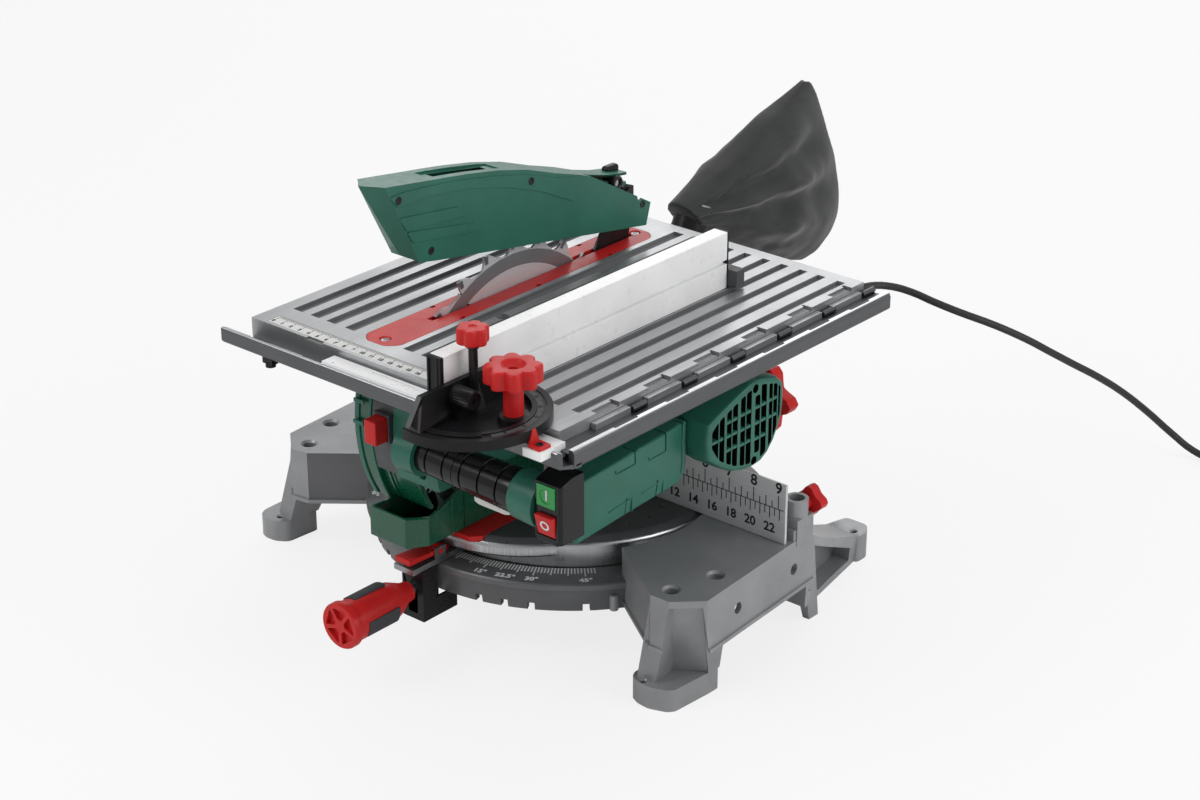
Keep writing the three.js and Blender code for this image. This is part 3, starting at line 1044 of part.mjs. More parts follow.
// Guide bar, protractor and rip fence
const bar = { left: -15, right: 224, front: -282.5, back: -262, low: 268, top: 286.5, slot: 5, slotDepth: 4 };
const barMid = (bar.front + bar.back) / 2;
const swivel = { x: 183, y: barMid, screw: 3.5, spacer: 12 };
const barProfile = [
  [bar.front, bar.low], [bar.back, bar.low], [bar.back, bar.top], [barMid + bar.slot, bar.top],
  [barMid + bar.slot, bar.top - bar.slotDepth], [barMid - bar.slot, bar.top - bar.slotDepth],
  [barMid - bar.slot, bar.top], [bar.front, bar.top],
];
const screwEnd = bar.low + bar.slotDepth;
const barGroup = group('guide_bar', tableGroup);
piece('guide_bar', prism('x', barProfile, bar.left, bar.right).subtract(
  rod('z', [swivel.x, swivel.y], bored(swivel.screw, small), screwEnd - gap, bar.top + over, small)), aluminium,
barGroup);
const gauge = {
  low: 296, thick: 4, faceX: 138.7, wallOut: 141.9, wallTop: 320, wallFront: -337, wallBack: -230, reach: 80,
  centreY: -272, rimInner: 72, rimTop: 306, knobX: 149, knobY: -278,
};
const fan = arcPoints([gauge.faceX, gauge.centreY], gauge.reach, -90, 20, 14);
const gaugeBody = cutAll(join(
  prism('z', [...fan, [gauge.faceX, gauge.wallBack]], gauge.low, gauge.low + gauge.thick),
  prism('z', arcBand([gauge.faceX, gauge.centreY], gauge.rimInner, gauge.reach, -90, 20, 14), gauge.low,
    gauge.rimTop),
  box([gauge.faceX, gauge.wallOut], [gauge.wallFront, gauge.wallBack], [gauge.low, gauge.wallTop]),
  rod('z', [swivel.x, swivel.y], swivel.spacer, bar.top + gap, gauge.low + gap, round),
),
rod('z', [swivel.x, swivel.y], bored(swivel.screw, small), bar.top - over, gauge.rimTop, small),
);
const gaugeGroup = group('protractor', barGroup);
piece('protractor', gaugeBody, black, gaugeGroup);

const ripFence = {
  left: 124.5, right: 138.4, low: 291.8, top: 340.5, front: -298, back: 35.5, groove: 311, grooveHalf: 3,
  grooveDepth: 5, topHalf: 3, topDepth: 4, rearEnd: 48, rearTop: 308, cap: 3,
};
const ripMid = (ripFence.left + ripFence.right) / 2;
const ripProfile = [
  [ripFence.left, ripFence.low], [ripFence.right, ripFence.low],
  [ripFence.right, ripFence.groove - ripFence.grooveHalf],
  [ripFence.right - ripFence.grooveDepth, ripFence.groove - ripFence.grooveHalf],
  [ripFence.right - ripFence.grooveDepth, ripFence.groove + ripFence.grooveHalf],
  [ripFence.right, ripFence.groove + ripFence.grooveHalf], [ripFence.right, ripFence.top],
  [ripMid + ripFence.topHalf, ripFence.top], [ripMid + ripFence.topHalf, ripFence.top - ripFence.topDepth],
  [ripMid - ripFence.topHalf, ripFence.top - ripFence.topDepth], [ripMid - ripFence.topHalf, ripFence.top],
  [ripFence.left, ripFence.top],
];
const fenceHome = group('rip_fence', gaugeGroup);
piece('rip_fence', prism('y', ripProfile, ripFence.front, ripFence.back), aluminium, fenceHome);
piece('rip_cap', box([ripFence.left, ripFence.right], [ripFence.front - gap - ripFence.cap, ripFence.front - gap],
  [ripFence.low, ripFence.top]), black, fenceHome);
piece('rip_block', box([ripFence.left, ripFence.right], [ripFence.back + gap, ripFence.rearEnd],
  [ripFence.low, ripFence.rearTop]), black, fenceHome);

const bigKnob = { stem: 7, stemLow: 300.3, starLow: 325, starTop: 340, tip: 22, root: 16.5, lobes: 7 };
piece('big_knob', join(
  rod('z', origin, swivel.screw, screwEnd, bigKnob.stemLow + gap, small),
  rod('z', origin, bigKnob.stem, bigKnob.stemLow, bigKnob.starLow + gap, round),
  prism('z', lobed(origin, bigKnob.tip, bigKnob.root, bigKnob.lobes), bigKnob.starLow, bigKnob.starTop),
), red, group('big_knob', gaugeGroup), [swivel.x, swivel.y, 0]);
const smallKnob = { shaft: 3.5, starLow: 349, starTop: 362, tip: 12.5, root: 9.5, lobes: 6 };
const clampNut = { y: -293, z: 311.5, radius: 8, length: 22 };
piece('clamp_screw', rod('x', origin, clampNut.radius, gauge.wallOut + gap, gauge.wallOut + clampNut.length, round),
  black, group('clamp_screw', gaugeGroup), [0, clampNut.y, clampNut.z]);
piece('small_knob', join(
  rod('z', origin, smallKnob.shaft, gauge.low + gauge.thick + gap, smallKnob.starLow + gap, small),
  prism('z', lobed(origin, smallKnob.tip, smallKnob.root, smallKnob.lobes), smallKnob.starLow, smallKnob.starTop),
), red, group('small_knob', gaugeGroup), [gauge.knobX, gauge.knobY, 0]);

// Mains cord: gland on the bevel arm, cord down to the bench, coil and plug
const mains = { radius: 3.4, sides: 8, steps: 44 };
const glandBody = { root: 8, tip: 5.2, start: 32.3, end: 60, y: 179, z: 206, flange: 10.5, flangeThick: 4 };
piece('cord_gland', turned('x', [glandBody.y, glandBody.z], [
  [0, glandBody.start], [glandBody.flange, glandBody.start],
  [glandBody.flange, glandBody.start + glandBody.flangeThick],
  [glandBody.root, glandBody.start + glandBody.flangeThick], [glandBody.tip, glandBody.end], [0, glandBody.end],
]), black, turnGroup);
const cordPoints = [
  [60.3, 179, 206], [68, 179, 206], [80, 180, 206], [93, 186, 207], [102, 200, 208.5], [107, 222, 210.5],
  [109.5, 250, 212], [115, 277, 212.5], [127, 296, 209], [142, 306.5, 204], [161, 312, 198.5],
  [181.5, 324, 190], [205, 345, 177.5], [224, 370, 161], [236, 397, 142], [245, 425, 123],
  [254, 455, 103], [264, 487, 79], [276, 518, 51], [291, 542, 24.5], [310, 552, 8.5], [330, 554.5, 3.9],
  [350, 555, 3.5], [368, 555, 3.5],
];
const cordCurve = new THREE.CatmullRomCurve3(cordPoints.map((p) => new THREE.Vector3(...p)), false, 'centripetal');
const cordSection = new THREE.Shape(Array.from({ length: mains.sides }, (_, k) => {
  const angle = 2 * Math.PI * k / mains.sides;
  return new THREE.Vector2(mains.radius * Math.cos(angle), mains.radius * Math.sin(angle));
}));
const cordTube = new THREE.ExtrudeGeometry(cordSection, { steps: mains.steps, extrudePath: cordCurve });
piece('power_cord', toSolid(cordTube), black, turnGroup);

// The coil spirals in on its first layer, climbs at the middle and spirals out on the second
const coil = {
  x: 382, outer: 46.5, turns: 6, pitch: 7.6, lift: 7.4, perTurn: 24, sides: 6, z: 3.6, lead: 8, tail: 24,
  climb: 0.5, y: 555, start: 368.3,
};
const coilCentre = [coil.x, coil.y + coil.outer];
const halfTurns = coil.turns / 2;
const coilPoint = (turn) => {
  const fromMiddle = Math.abs(turn - halfTurns);
  const r = coil.outer - coil.pitch * (halfTurns - fromMiddle);
  const climbed = Math.min(1, Math.max(0, (turn - halfTurns) / coil.climb + 0.5));
  const rise = coil.lift * climbed * climbed * (3 - 2 * climbed);
  const angle = -Math.PI / 2 + 2 * Math.PI * turn;
  return [coilCentre[0] + r * Math.cos(angle), coilCentre[1] + r * Math.sin(angle), coil.z + rise];
};
const loops = Array.from({ length: coil.turns * coil.perTurn + 1 }, (_, k) => coilPoint(k / coil.perTurn));
const lastLoop = loops[loops.length - 1];
const coilLine = [[coil.start, coil.y, coil.z], [coil.x - coil.lead / 2, coil.y, coil.z], ...loops,
  [lastLoop[0] + coil.lead, lastLoop[1], lastLoop[2]], [lastLoop[0] + coil.tail - coil.lead, lastLoop[1],
    lastLoop[2] + coil.z], [lastLoop[0] + coil.tail, lastLoop[1], lastLoop[2] + coil.z]];
function swept(line, radius, sides) {
  const points = line.map((p) => new THREE.Vector3(...p));
  const up = new THREE.Vector3(0, 0, 1);
  return skinned(points.map((p, k) => {
    const ahead = points[Math.min(k + 1, points.length - 1)];
    const behind = points[Math.max(k - 1, 0)];
    const tangent = ahead.clone().sub(behind).normalize();
    const acrossLine = new THREE.Vector3().crossVectors(tangent, up).normalize();
    const normal = new THREE.Vector3().crossVectors(acrossLine, tangent);
    return Array.from({ length: sides }, (_, i) => {
      const angle = 2 * Math.PI * (i + 0.5) / sides;
      return p.clone().addScaledVector(acrossLine, radius * Math.cos(angle))
        .addScaledVector(normal, radius * Math.sin(angle)).toArray();
    });
  }));
}
piece('cord_coil', swept(coilLine, mains.radius, coil.sides), black, turnGroup);
const coilGap = Math.min(...loops.flatMap((p, i) => loops.map((q, j) => {
  const apart = Math.abs(i - j) > coil.perTurn / 2;
  return apart ? Math.hypot(p[0] - q[0], p[1] - q[1], p[2] - q[2]) - 2 * mains.radius : coil.outer;
})));
console.log(`least gap between the coil's turns: ${coilGap.toFixed(2)} mm`);

const plug = { relief: 28, tip: 5, root: 8, body: 17, bodyLength: 38, nose: 15, pin: 2.4, pinLength: 19,
  pinSpread: 9.5 };
const plugStart = lastLoop[0] + coil.tail + gap;
const plugZ = lastLoop[2] + coil.z;
const plugBody = join(
  turned('x', [lastLoop[1], plugZ], [
    [0, plugStart], [plug.tip, plugStart], [plug.root, plugStart + plug.relief],
    [plug.body - mains.radius, plugStart + plug.relief + plug.tip],
    [plug.nose - mains.radius, plugStart + plug.relief + plug.bodyLength],
    [0, plugStart + plug.relief + plug.bodyLength],
  ]),
  ...[-1, 1].map((way) => rod('x', [lastLoop[1] + way * plug.pinSpread, plugZ], plug.pin,
    plugStart + plug.relief + plug.bodyLength - gap, plugStart + plug.relief + plug.bodyLength + plug.pinLength,
    small)),
);
piece('plug', plugBody, black, turnGroup);

// The origin goes to the middle of the footprint of all but the cord
const cordNames = ['cord_gland', 'power_cord', 'cord_coil', 'plug'];
const bounds = new THREE.Box3();
model.updateMatrixWorld(true);
model.traverse((node) => {
  if (node.isMesh && !cordNames.includes(node.name)) bounds.expandByObject(node, true);
});
const middle = bounds.getCenter(new THREE.Vector3());
model.position.set(-middle.x, -middle.y, -bounds.min.z);

export default model;
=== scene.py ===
# Combination mitre saw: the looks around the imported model.
# Places are written in millimetres about the turntable's axis on the bench, as in the part's
# source, and spot() turns them into the frame's metres.

import json
import math

import bmesh
import bpy
from mathutils import Matrix, Vector, noise


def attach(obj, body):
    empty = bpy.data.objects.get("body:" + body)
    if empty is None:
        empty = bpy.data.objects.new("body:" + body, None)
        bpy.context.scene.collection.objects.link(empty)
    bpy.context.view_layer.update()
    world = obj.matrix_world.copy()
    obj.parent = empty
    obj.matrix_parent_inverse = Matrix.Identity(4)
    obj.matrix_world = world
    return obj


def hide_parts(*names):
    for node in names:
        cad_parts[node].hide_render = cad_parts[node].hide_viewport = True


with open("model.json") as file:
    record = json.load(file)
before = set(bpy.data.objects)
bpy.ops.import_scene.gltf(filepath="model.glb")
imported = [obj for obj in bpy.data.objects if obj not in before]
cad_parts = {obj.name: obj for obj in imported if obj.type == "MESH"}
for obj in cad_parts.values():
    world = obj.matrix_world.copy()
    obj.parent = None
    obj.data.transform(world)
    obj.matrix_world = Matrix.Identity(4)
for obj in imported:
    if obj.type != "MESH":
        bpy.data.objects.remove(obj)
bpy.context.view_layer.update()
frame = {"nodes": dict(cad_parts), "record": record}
NODES = frame["nodes"]

MM = 0.001
SHIFT = -13.5
PROUD = 0.12

# Axes that run along x, as (y, z): the blade's, the motor's and the grip's

AXLE = (-74.2, 203)
MOTOR_AXIS = (-34, 215.1)
GRIP_AXIS = (-224.5, 206.5)

# The angles that the turntable clicks into, to either side

CLICKS = (15, 22.5, 30, 45)


def spot(x, y, z):
    """A place about the turntable's axis in millimetres, in the frame's metres."""
    return Vector((x * MM, (y + SHIFT) * MM, z * MM))


def linked(name, data):
    """A new object in the scene."""
    made = bpy.data.objects.new(name, data)
    bpy.context.scene.collection.objects.link(made)
    return made


# Camera: the photograph's place and angle

CAMERA_PLACE = (1357.64, -1545.32, 1106.25)
CAMERA_AZIMUTH = 40.62
CAMERA_ELEVATION = 24.67
FOCAL_PIXELS = 2624.15
IMAGE_WIDTH = 1200
SENSOR = 36.0


def make_camera():
    data = bpy.data.cameras.new("camera")
    data.sensor_width = SENSOR
    data.lens = FOCAL_PIXELS * SENSOR / IMAGE_WIDTH
    data.clip_end = 30
    camera = linked("camera", data)
    camera.location = spot(*CAMERA_PLACE)
    camera.rotation_euler = (math.radians(90 - CAMERA_ELEVATION), 0, math.radians(CAMERA_AZIMUTH))
    bpy.context.scene.camera = camera


make_camera()


# Materials

PAINTS = {}


class Shader:
    """One procedural material: a principled shader with noise for its colour, roughness and bump."""

    def __init__(self, name, roughness, metallic=0.0, **sockets):
        self.material = bpy.data.materials.new(name)
        PAINTS[name] = self.material
        self.material.use_nodes = True
        self.tree = self.material.node_tree
        self.tree.nodes.clear()
        self.out = self.tree.nodes.new("ShaderNodeOutputMaterial")
        self.shader = self.tree.nodes.new("ShaderNodeBsdfPrincipled")
        self.link(self.shader.outputs["BSDF"], self.out.inputs["Surface"])
        self.shader.inputs["Roughness"].default_value = roughness
        self.shader.inputs["Metallic"].default_value = metallic
        for key, value in sockets.items():
            self.shader.inputs[key.replace("_", " ")].default_value = value
        self.place = self.tree.nodes.new("ShaderNodeTexCoord").outputs["Object"]
        self.normal = None

    def link(self, source, target):
        self.tree.links.new(source, target)

    def node(self, kind, **values):
        made = self.tree.nodes.new(kind)
        for key, value in values.items():
            if key in made.inputs:
                made.inputs[key].default_value = value
            else:
                setattr(made, key, value)
        return made

    def noise(self, size, detail=3.0, stretch=(1, 1, 1), roughness=0.5):
        """Noise with features of about size millimetres, stretched along the axes."""
        mapping = self.node("ShaderNodeMapping")
        mapping.inputs["Scale"].default_value = tuple(1 / (size * MM * s) for s in stretch)
        self.link(self.place, mapping.inputs["Vector"])
        made = self.node("ShaderNodeTexNoise", Scale=1.0, Detail=detail, Roughness=roughness)
        self.link(mapping.outputs["Vector"], made.inputs["Vector"])
        return made.outputs["Fac"]

    def ramp(self, factor, low, high, first, last):
        made = self.node("ShaderNodeMapRange")
        made.inputs["From Min"].default_value = low
        made.inputs["From Max"].default_value = high
        made.inputs["To Min"].default_value = first
        made.inputs["To Max"].default_value = last
        self.link(factor, made.inputs["Value"])
        return made.outputs["Result"]

    def mix(self, factor, first, second):
        made = self.node("ShaderNodeMix", data_type="RGBA")
        for value, socket in ((first, made.inputs[6]), (second, made.inputs[7])):
            if isinstance(value, tuple):
                socket.default_value = (*value, 1)
            else:
                self.link(value, socket)
        self.link(factor, made.inputs[0])
        return made.outputs[2]

    def shades(self, factor, first, second):
        """Two colours blended by the middle range of a noise."""
        return self.mix(self.ramp(factor, 0.3, 0.7, 0, 1), first, second)

    def colour(self, value):
        if isinstance(value, tuple):
            self.shader.inputs["Base Color"].default_value = (*value, 1)
        else:
            self.link(value, self.shader.inputs["Base Color"])

    def roughness(self, factor, low, high):
        self.link(self.ramp(factor, 0.3, 0.7, low, high), self.shader.inputs["Roughness"])

    def bump(self, height, depth, strength=1.0):
        """Adds a bump of depth millimetres to what is there."""
        made = self.node("ShaderNodeBump", Strength=strength, Distance=depth * MM)
        self.link(height, made.inputs["Height"])
        if self.normal is not None:
            self.link(self.normal, made.inputs["Normal"])
        self.normal = made.outputs["Normal"]
        self.link(self.normal, self.shader.inputs["Normal"])


def linear(red, green, blue):
    """A colour written as it shows, 0 to 255, in linear light."""
    return tuple(((v / 255 + 0.055) / 1.055) ** 2.4 if v > 10 else v / 255 / 12.92
                 for v in (red, green, blue))


def tinted(colour, factor):
    return tuple(min(1.0, v * factor) for v in colour)


def plastic(name, colour, roughness=0.4, grain=0.7, depth=0.02, coat=0.0, sheen=0.5):
    """Moulded plastic: a faint mottle, a fine grain and dusty patches where it is rougher."""
    made = Shader(name, roughness, Coat_Weight=coat, Coat_Roughness=0.12, Specular_IOR_Level=sheen)
    mottle = made.noise(38, 4)
    patches = made.noise(9, 5)
    made.colour(made.shades(mottle, tinted(colour, 0.9), tinted(colour, 1.1)))
    made.roughness(patches, roughness * 0.86, roughness * 1.16)
    made.bump(made.noise(grain, 2), depth)
    made.bump(made.noise(16, 2), 0.05, 0.35)


def cast_paint(name, colour, roughness=0.42, metallic=0.25):
    """Painted cast metal: orange peel, fine metallic specks and a broad random mottle of tone."""
    made = Shader(name, roughness, metallic)
    mottle = made.noise(60, 4)
    specks = made.noise(0.5, 2)
    base = made.shades(mottle, tinted(colour, 0.86), tinted(colour, 1.12))
    made.colour(made.mix(made.ramp(specks, 0.62, 0.7, 0, 0.5), base, tinted(colour, 1.7)))
    made.roughness(made.noise(7, 4), roughness * 0.85, roughness * 1.2)
    made.bump(made.noise(1.6, 3), 0.05)
    made.bump(made.noise(22, 3), 0.12, 0.5)


def drawn_metal(name, colour, along="y", roughness=0.3, line=0.25, depth=0.012, metal=1.0):
    """Extruded or brushed metal with fine lines along one axis."""
    made = Shader(name, roughness, metal)
    stretch = {"x": (160, 1, 1), "y": (1, 160, 1), "z": (1, 1, 160)}[along]
    lines = made.noise(line, 3, stretch)
    broad = made.noise(line * 14, 3, stretch)
    cloud = made.noise(70, 3)
    base = made.shades(lines, tinted(colour, 0.84), tinted(colour, 1.1))
    made.colour(made.mix(made.ramp(broad, 0.35, 0.65, 0, 0.35), base, tinted(colour, 0.8)))
    made.roughness(cloud, roughness * 0.8, roughness * 1.25)
    made.bump(lines, depth)


def turned_metal(name, colour, centre, axis, roughness=0.25, line=0.3, metal=1.0):
    """Metal turned about a line along an axis, with fine rings about it."""
    made = Shader(name, roughness, metal)
    offset = made.node("ShaderNodeVectorMath", operation="SUBTRACT")
    made.link(made.place, offset.inputs[0])
    offset.inputs[1].default_value = centre
    flat = made.node("ShaderNodeVectorMath", operation="MULTIPLY")
    flat.inputs[1].default_value = tuple(0.0 if name_ == axis else 1.0 for name_ in "xyz")
    made.link(offset.outputs[0], flat.inputs[0])
    length = made.node("ShaderNodeVectorMath", operation="LENGTH")
    made.link(flat.outputs[0], length.inputs[0])
    scaled = made.node("ShaderNodeMath", operation="MULTIPLY")
    scaled.inputs[1].default_value = 1 / (line * MM)
    made.link(length.outputs["Value"], scaled.inputs[0])
    rings = made.node("ShaderNodeTexNoise", noise_dimensions="1D", Scale=1.0, Detail=3.0)
    made.link(scaled.outputs[0], rings.inputs["W"])
    made.colour(made.shades(rings.outputs["Fac"], tinted(colour, 0.8), tinted(colour, 1.1)))
    made.roughness(made.noise(30, 4), roughness * 0.8, roughness * 1.3)
    made.bump(rings.outputs["Fac"], 0.01)


def woven(name, colour):
    """Thin woven cloth: crossing threads, a soft sheen and creased light patches."""
    made = Shader(name, 0.72, Sheen_Weight=0.35, Sheen_Roughness=0.4)
    patches = made.noise(45, 5)
    threads = []
    for direction in ((1, 0.3, 1), (0.2, 1, -0.8)):
        wave = made.node("ShaderNodeTexWave", Scale=1.0, Distortion=0.6, Detail=1.0)
        mapping = made.node("ShaderNodeMapping")
        mapping.inputs["Scale"].default_value = tuple(v / (1.4 * MM * math.tau) for v in direction)
        made.link(made.place, mapping.inputs["Vector"])
        made.link(mapping.outputs["Vector"], wave.inputs["Vector"])
        threads.append(wave.outputs["Fac"])
    weave = made.node("ShaderNodeMath", operation="MULTIPLY")
    made.link(threads[0], weave.inputs[0])
    made.link(threads[1], weave.inputs[1])
    base = made.shades(patches, tinted(colour, 0.75), tinted(colour, 1.3))
    made.colour(made.mix(made.ramp(weave.outputs[0], 0, 1, 0, 0.3), base, tinted(colour, 1.8)))
    made.bump(weave.outputs[0], 0.05, 0.6)
    made.bump(made.noise(12, 4), 0.6, 0.5)


def printed(name, colour):
    """Printed ink, slightly worn."""
    made = Shader(name, 0.5)
    made.colour(made.mix(made.ramp(made.noise(1.2, 3), 0.35, 0.75, 0, 1), colour, tinted(colour, 0.8)))
    made.bump(made.noise(0.4, 2), 0.01)


GREEN = linear(44, 112, 94)
DARK_GREEN = linear(16, 82, 58)
RED = linear(214, 40, 40)
BLACK = linear(26, 26, 28)

plastic("green_plastic", tinted(GREEN, 0.84), 0.34, sheen=0.4)
plastic("dark_green_plastic", DARK_GREEN, 0.26, coat=0.3)
plastic("red_plastic", tinted(RED, 0.86), 0.32, sheen=0.25)
plastic("black_plastic", BLACK, 0.34, depth=0.03, sheen=0.22)
# Gloss black plastic, also used as painted shade inside the chip box's pocket and the grille's slots.
plastic("gloss_black_and_shade", linear(16, 16, 18), 0.16, sheen=0.35)
plastic("graphite_plastic", linear(74, 76, 78), 0.5)
plastic("pale_plastic", linear(206, 206, 202), 0.4)
plastic("button_green", linear(10, 148, 62), 0.3, coat=0.3)
plastic("black_metal", linear(26, 26, 28), 0.3, grain=1.2, sheen=0.35)
plastic("soft_rubber", linear(58, 60, 64), 0.7, grain=0.5, depth=0.05)
plastic("cord_rubber", linear(34, 34, 36), 0.5, grain=0.5)
woven("cloth", linear(42, 43, 44))
cast_paint("cast_grey", linear(152, 153, 155), 0.34, 0.35)
cast_paint("dark_cast", linear(108, 109, 111), 0.36, 0.4)
cast_paint("disc_dark", linear(84, 84, 86), 0.32, 0.4)
cast_paint("groove_grey", linear(128, 129, 131), 0.5)
drawn_metal("table_grey", linear(190, 191, 193), "y", 0.36, 0.35, metal=0.8)
# The next two are bright metal for the rails' top faces: a painted highlight.
drawn_metal("extruded", linear(214, 215, 218), "y", 0.26)
drawn_metal("front_rail_top_highlight", linear(206, 207, 210), "x", 0.3)
plastic("white_metal", linear(252, 252, 253), 0.3, sheen=0.7)
drawn_metal("fence_metal", linear(214, 215, 217), "x", 0.38, 0.35, metal=0.35)
drawn_metal("rail_grey", linear(108, 109, 111), "y", 0.4)
drawn_metal("rail_grey_x", linear(108, 109, 111), "x", 0.4)
drawn_metal("steel", linear(170, 172, 175), "x", 0.28)
# Bright metal for the turntable's side band: a painted highlight on its rounded rim.
turned_metal("turntable_edge_highlight", linear(186, 187, 189), spot(0, 0, 0), "z", 0.3)
turned_metal("blade_steel", linear(232, 233, 235), spot(0, *AXLE), "x", 0.3, 0.5, 0.3)
turned_metal("blade_ring", linear(158, 159, 162), spot(0, *AXLE), "x", 0.34, 0.5, 0.6)
printed("ink_black", linear(24, 24, 26))
printed("ink_white", linear(226, 227, 228))
printed("white_strip", linear(232, 232, 230))


# Meshes

AXES = {"x": lambda u, v, w: (w, u, v), "y": lambda u, v, w: (u, w, v), "z": lambda u, v, w: (u, v, w)}


def polar(centre, radius, degrees):
    """A point at a distance and an angle from a centre, in a plane."""
    angle = math.radians(degrees)
    return centre[0] + radius * math.cos(angle), centre[1] + radius * math.sin(angle)


def arc_band(centre, inner, outer, first, last, steps):
    """The outline of a piece of a flat ring, between two radii and two angles."""
    angles = [first + (last - first) * k / steps for k in range(steps + 1)]
    near = [polar(centre, inner, angle) for angle in reversed(angles)]
    return [polar(centre, outer, angle) for angle in angles] + near


def solid(name, points, faces):
    """A closed mesh of points in millimetres, its faces turned outwards."""
    mesh = bpy.data.meshes.new(name)
    mesh.from_pydata([spot(*p) for p in points], [], faces)
    work = bmesh.new()
    work.from_mesh(mesh)
    bmesh.ops.remove_doubles(work, verts=work.verts, dist=1e-6)
    bmesh.ops.recalc_face_normals(work, faces=work.faces)
    work.to_mesh(mesh)
    work.free()
    made = linked(name, mesh)
    return made


def prisms(name, axis, outlines, start, end):
    """Outlines pushed along an axis. On x they are drawn in (y, z), on y in (x, z), on z in (x, y)."""
    points, faces = [], []
    for outline in outlines:
        low = len(points)
        count = len(outline)
        high = low + count
        points += [AXES[axis](u, v, w) for w in (start, end) for u, v in outline]
        faces += [list(range(low, high))[::-1], list(range(high, high + count))]
        for i in range(count):
            ahead = (i + 1) % count
            faces.append([low + i, low + ahead, high + ahead, high + i])
    return solid(name, points, faces)


def prism(name, axis, outline, start, end):
    return prisms(name, axis, [outline], start, end)


def block(name, x, y, z):
    return prism(name, "z", [(x[0], y[0]), (x[1], y[0]), (x[1], y[1]), (x[0], y[1])], z[0], z[1])


def skin(name, rings, closed=False):
    """Rings of as many points each, joined in turn; the ends are closed, or joined to each other."""
    count = len(rings[0])
    total = len(rings) * count
    faces = []
    for low in range(0, total if closed else total - count, count):
        high = (low + count) % total
        for i in range(count):
            ahead = (i + 1) % count
            faces.append([low + i, low + ahead, high + ahead, high + i])
    if not closed:
        faces += [list(range(count))[::-1], list(range(total - count, total))]
    return solid(name, [point for ring in rings for point in ring], faces)


def lathe(name, axis, centre, profile, sides=64):
    """A profile of (radius, height) turned about a line along an axis; a zero radius closes an end."""
    rings = []
    for radius, height in profile:
        around = [polar(centre, max(radius, 1e-4), 360 * k / sides) for k in range(sides)]
        rings.append([AXES[axis](u, v, height) for u, v in around])
    hollow = profile[0][0] > 0 and profile[-1][0] > 0
    return skin(name, rings, closed=hollow)


def trimmed(span, gap):
    """A span made shorter by a gap at each end."""
    return span[0] + gap, span[1] - gap


def rod(name, axis, centre, radius, start, end, sides=64):
    return lathe(name, axis, centre, [(0, start), (radius, start), (radius, end), (0, end)], sides)


def result_mesh(obj):
    """A mesh of what an object's modifiers, or its curve, give."""
    bpy.context.view_layer.update()
    graph = bpy.context.evaluated_depsgraph_get()
    return bpy.data.meshes.new_from_object(obj.evaluated_get(graph))


def applied(obj):
    """Puts the result of an object's modifiers into its mesh."""
    mesh = result_mesh(obj)
    obj.modifiers.clear()
    obj.data = mesh
    return obj


def combined(obj, operation, others):
    for other in others:
        step = obj.modifiers.new(operation, "BOOLEAN")
        step.operation = operation
        step.solver = "MANIFOLD"
        step.object = other
    applied(obj)
    for other in others:
        bpy.data.objects.remove(other)
    return obj


def join(obj, *others):
    return combined(obj, "UNION", others)


def carve(obj, *cutters):
    return combined(obj, "DIFFERENCE", cutters)


def soften(obj, width=0.8, segments=2, angle=32):
    """Rounds the sharp edges and shades the rest smooth."""
    step = obj.modifiers.new("edges", "BEVEL")
    step.width = width * MM
    step.segments = segments
    step.limit_method = "ANGLE"
    step.angle_limit = math.radians(angle)
    step.use_clamp_overlap = True
    step.miter_outer = "MITER_ARC"
    applied(obj)
    return smooth(obj)


def smooth(obj, angle=34):
    obj.data.polygons.foreach_set("use_smooth", [True] * len(obj.data.polygons))
    obj.data.set_sharp_from_angle(angle=math.radians(angle))
    step = obj.modifiers.new("normals", "WEIGHTED_NORMAL")
    step.keep_sharp = True
    return obj


def copied(node, whole=True):
    """A copy of a CAD node's mesh, with its flat faces made whole again if asked."""
    made = linked(node + "_shell", NODES[node].data.copy())
    work = bmesh.new()
    work.from_mesh(made.data)
    bmesh.ops.remove_doubles(work, verts=work.verts, dist=2e-6)
    if whole:
        bmesh.ops.dissolve_limit(work, angle_limit=math.radians(0.6), verts=work.verts, edges=work.edges)
    bmesh.ops.recalc_face_normals(work, faces=work.faces)
    work.to_mesh(made.data)
    work.free()
    made.data.materials.clear()
    return made


BODY = {node: body for body, nodes in frame["record"]["behaviour"]["bodies"].items() for node in nodes}


def extra(obj, node, paint, name=None):
    """Names a further piece of a node, paints it and makes it ride with the node's body."""
    if name:
        obj.name = name
    obj.data.materials.clear()
    obj.data.materials.append(PAINTS[paint])
    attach(obj, BODY[node])
    return obj


def settle(obj, node, paint, name=None):
    """Does what extra() does for the piece that stands for the node."""
    extra(obj, node, paint, name)
    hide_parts(node)
    return obj


# Cord: gland, the free route, the coil and the plug

CORD_RADIUS = 3.4
CORD_ROUTE = [
    (60.3, 179, 206), (68, 179, 206), (80, 180, 206), (93, 186, 207), (102, 200, 208.5), (107, 222, 210.5),
    (109.5, 250, 212), (115, 277, 212.5), (127, 296, 209), (142, 306.5, 204), (161, 312, 198.5),
    (181.5, 324, 190), (205, 345, 177.5), (224, 370, 161), (236, 397, 142), (245, 425, 123),
    (254, 455, 103), (264, 487, 79), (276, 518, 51), (291, 542, 24.5), (310, 552, 8.5), (330, 554.5, 3.9),
    (350, 555, 3.5), (368, 555, 3.5),
]
COIL_X, COIL_Y, COIL_Z = 382, 555, 3.6
COIL_OUTER, COIL_PITCH, COIL_LIFT = 46.5, 7.6, 7.4
COIL_TURNS, COIL_STEPS = 6, 24
COIL_LEAD, COIL_TAIL = 8, 24
CLIMB = 0.5


